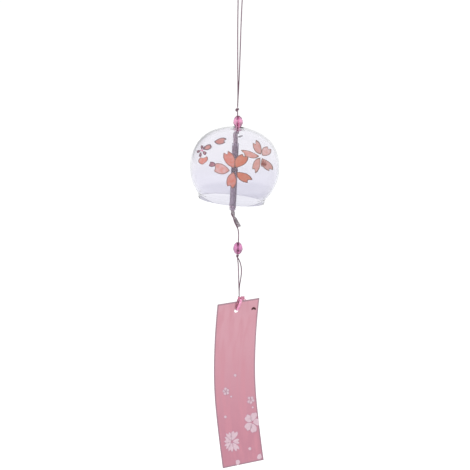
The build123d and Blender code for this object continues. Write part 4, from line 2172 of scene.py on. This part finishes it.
        # Left turn in painted shade, right turn in painted light, both of one pink cord.
        deep, painted_light_yarn = self.shaded_tie_yarn.material(), self.lit_tie_yarn.material()
        for name, node, route, cord, yarn in (
            ("tie_turn_painted_shade", "tie_strand_left", self.left_turn, self.shaded_turn_cord, deep),
            ("tie_turn_painted_light", "tie_strand_right", self.right_turn, self.lit_turn_cord, painted_light_yarn),
        ):
            shape = bmesh.new()
            cord.lay(shape, spline_points([self.roll_up(*mark) for mark in route]))
            add_piece(name, shape, [yarn], Body.STREAMER, [node])
        yaw, aside = radians(self.yaw), self.lobe_aside
        centre = Vector(self.tie)
        lobe = centre + Vector((aside * cos(yaw), aside * sin(yaw), -self.lobe_drop))
        shape = bmesh.new()
        Knot(centre, self.knot_radius, self.knot_cord, self.knot_tilt).tie(shape)
        Knot(lobe, self.lobe_radius, self.lobe_cord, self.lobe_tilt).tie(shape)
        tail = [lobe + Vector(place) for place in self.bow_tail]
        self.tail_cord.lay(shape, spline_points(tail))
        yarn = self.bow_yarn.material()
        add_piece("tie_bow", shape, [yarn], Body.STREAMER, ["tie_knot"])


@dataclass
class Studio:
    """Pale floor, white surroundings and soft lamps.

    Attributes:
        floor_glow: Light that the floor gives by itself to rays that show it.
        sky_strength: Strength of the surroundings for the light that they throw.
        flag_way: Direction of the grey part of the surroundings that glass mirrors.
        flag_range: Closeness to that direction where the grey starts and is full.
        flag_depth: How much darker it is.
        lamps: Place, size and power of each lamp.
        aim: Point that the lamps shine at.
    """

    floor_height: float = -0.60
    floor_size: float = 60.0
    floor_colour: Colour = dye(240, 240, 241)
    floor_glow: float = 0.35
    sky_strength: float = 0.80
    flag_way: Place = (-0.57, 0.82, 0.0)
    flag_range: Span = (0.78, 0.97)
    flag_depth: float = 0.36
    lamps: tuple[tuple[Place, float, float], ...] = (
        ((-1.3, -1.1, 0.8), 0.8, 17.0),
        ((1.5, -0.9, 0.5), 1.2, 4.0),
    )
    aim: Place = (0.0, 0.0, -0.2)

    def seen_ray(self, sheet: Sheet) -> Signal:
        """Tells which rays show the surroundings: the camera's, and those through or off glass.

        Args:
            sheet: Sheet that it goes on.

        Returns:
            1 for those rays, and 0 for the others.
        """
        kinds = [
            sheet.node("ShaderNodeLightPath", output=kind)
            for kind in ("Is Camera Ray", "Is Glossy Ray", "Is Transmission Ray")
        ]
        return sheet.maths("MINIMUM", kinds[0] + kinds[1] + kinds[2], 1.0)

    def build_floor(self) -> None:
        """Makes the floor."""
        sheet = Sheet(bpy.data.materials.new("pale_floor"))
        plain = sheet.node("ShaderNodeBsdfDiffuse", None, {"Color": self.floor_colour})
        glow = sheet.node("ShaderNodeEmission", None, {"Strength": self.floor_glow})
        both = sheet.node("ShaderNodeAddShader", None, {0: plain, 1: glow})
        seen = self.seen_ray(sheet)
        material = sheet.close(
            sheet.node("ShaderNodeMixShader", None, {0: seen, 1: plain, 2: both})
        )
        shape = bmesh.new()
        bmesh.ops.create_grid(shape, x_segments=1, y_segments=1, size=self.floor_size / 2)
        bmesh.ops.translate(shape, vec=(0.0, 0.0, self.floor_height), verts=shape.verts)
        mesh = bpy.data.meshes.new("floor")
        shape.to_mesh(mesh)
        shape.free()
        mesh.materials.append(material)
        floor = bpy.data.objects.new("floor", mesh)
        bpy.context.scene.collection.objects.link(floor)

    def build_world(self) -> None:
        """Makes the surroundings."""
        world = bpy.data.worlds.new("white_room")
        sheet = Sheet(world)
        seen = self.seen_ray(sheet)
        way = sheet.node("ShaderNodeTexCoord", output="Generated")
        both = {0: way, 1: self.flag_way}
        towards = sheet.node(
            "ShaderNodeVectorMath", {"operation": "DOT_PRODUCT"}, both, "Value"
        )
        glossy = sheet.node("ShaderNodeLightPath", output="Is Glossy Ray")
        flag = sheet.step(towards, *self.flag_range) * glossy * self.flag_depth
        strength = seen * (1.0 - self.sky_strength) + self.sky_strength - flag
        white = (1.0, 1.0, 1.0, 1.0)
        sheet.close(
            sheet.node("ShaderNodeBackground", None, {"Color": white, "Strength": strength})
        )
        bpy.context.scene.world = world

    def build_lamp(self, number: int, spot: Place, size: float, power: float) -> None:
        """Makes one lamp.

        Args:
            number: Its number.
            spot: Its place.
            size: Its diameter.
            power: Its power in watts.
        """
        data = bpy.data.lights.new(f"soft_lamp_{number}", "AREA")
        data.shape = "DISK"
        data.size = size
        data.energy = power
        lamp = bpy.data.objects.new(data.name, data)
        lamp.visible_glossy = False
        lamp.visible_transmission = False
        lamp.location = spot
        way = Vector(self.aim) - Vector(spot)
        lamp.rotation_euler = way.to_track_quat("-Z", "Y").to_euler()
        bpy.context.scene.collection.objects.link(lamp)

    def build(self) -> None:
        """Makes the floor, the world and the lamps."""
        self.build_floor()
        self.build_world()
        for number, lamp in enumerate(self.lamps):
            self.build_lamp(number, *lamp)
        bpy.context.scene.view_settings.view_transform = "Standard"


def main() -> None:
    """Builds the wind bell and the studio round it."""
    logging.basicConfig(level=logging.INFO, format="%(message)s")
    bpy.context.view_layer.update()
    view = PhotoView()
    view.set_camera()
    CordWork().build()
    FacetedBeads().build()
    glass = BlownBell().build()
    GlassPrints(view).build(glass)
    tape = ClapperTape()
    tape.build()
    TurnedRings(tape).build()
    Streamer(view).build()
    Studio().build()


if __name__ == "__main__":
    main()
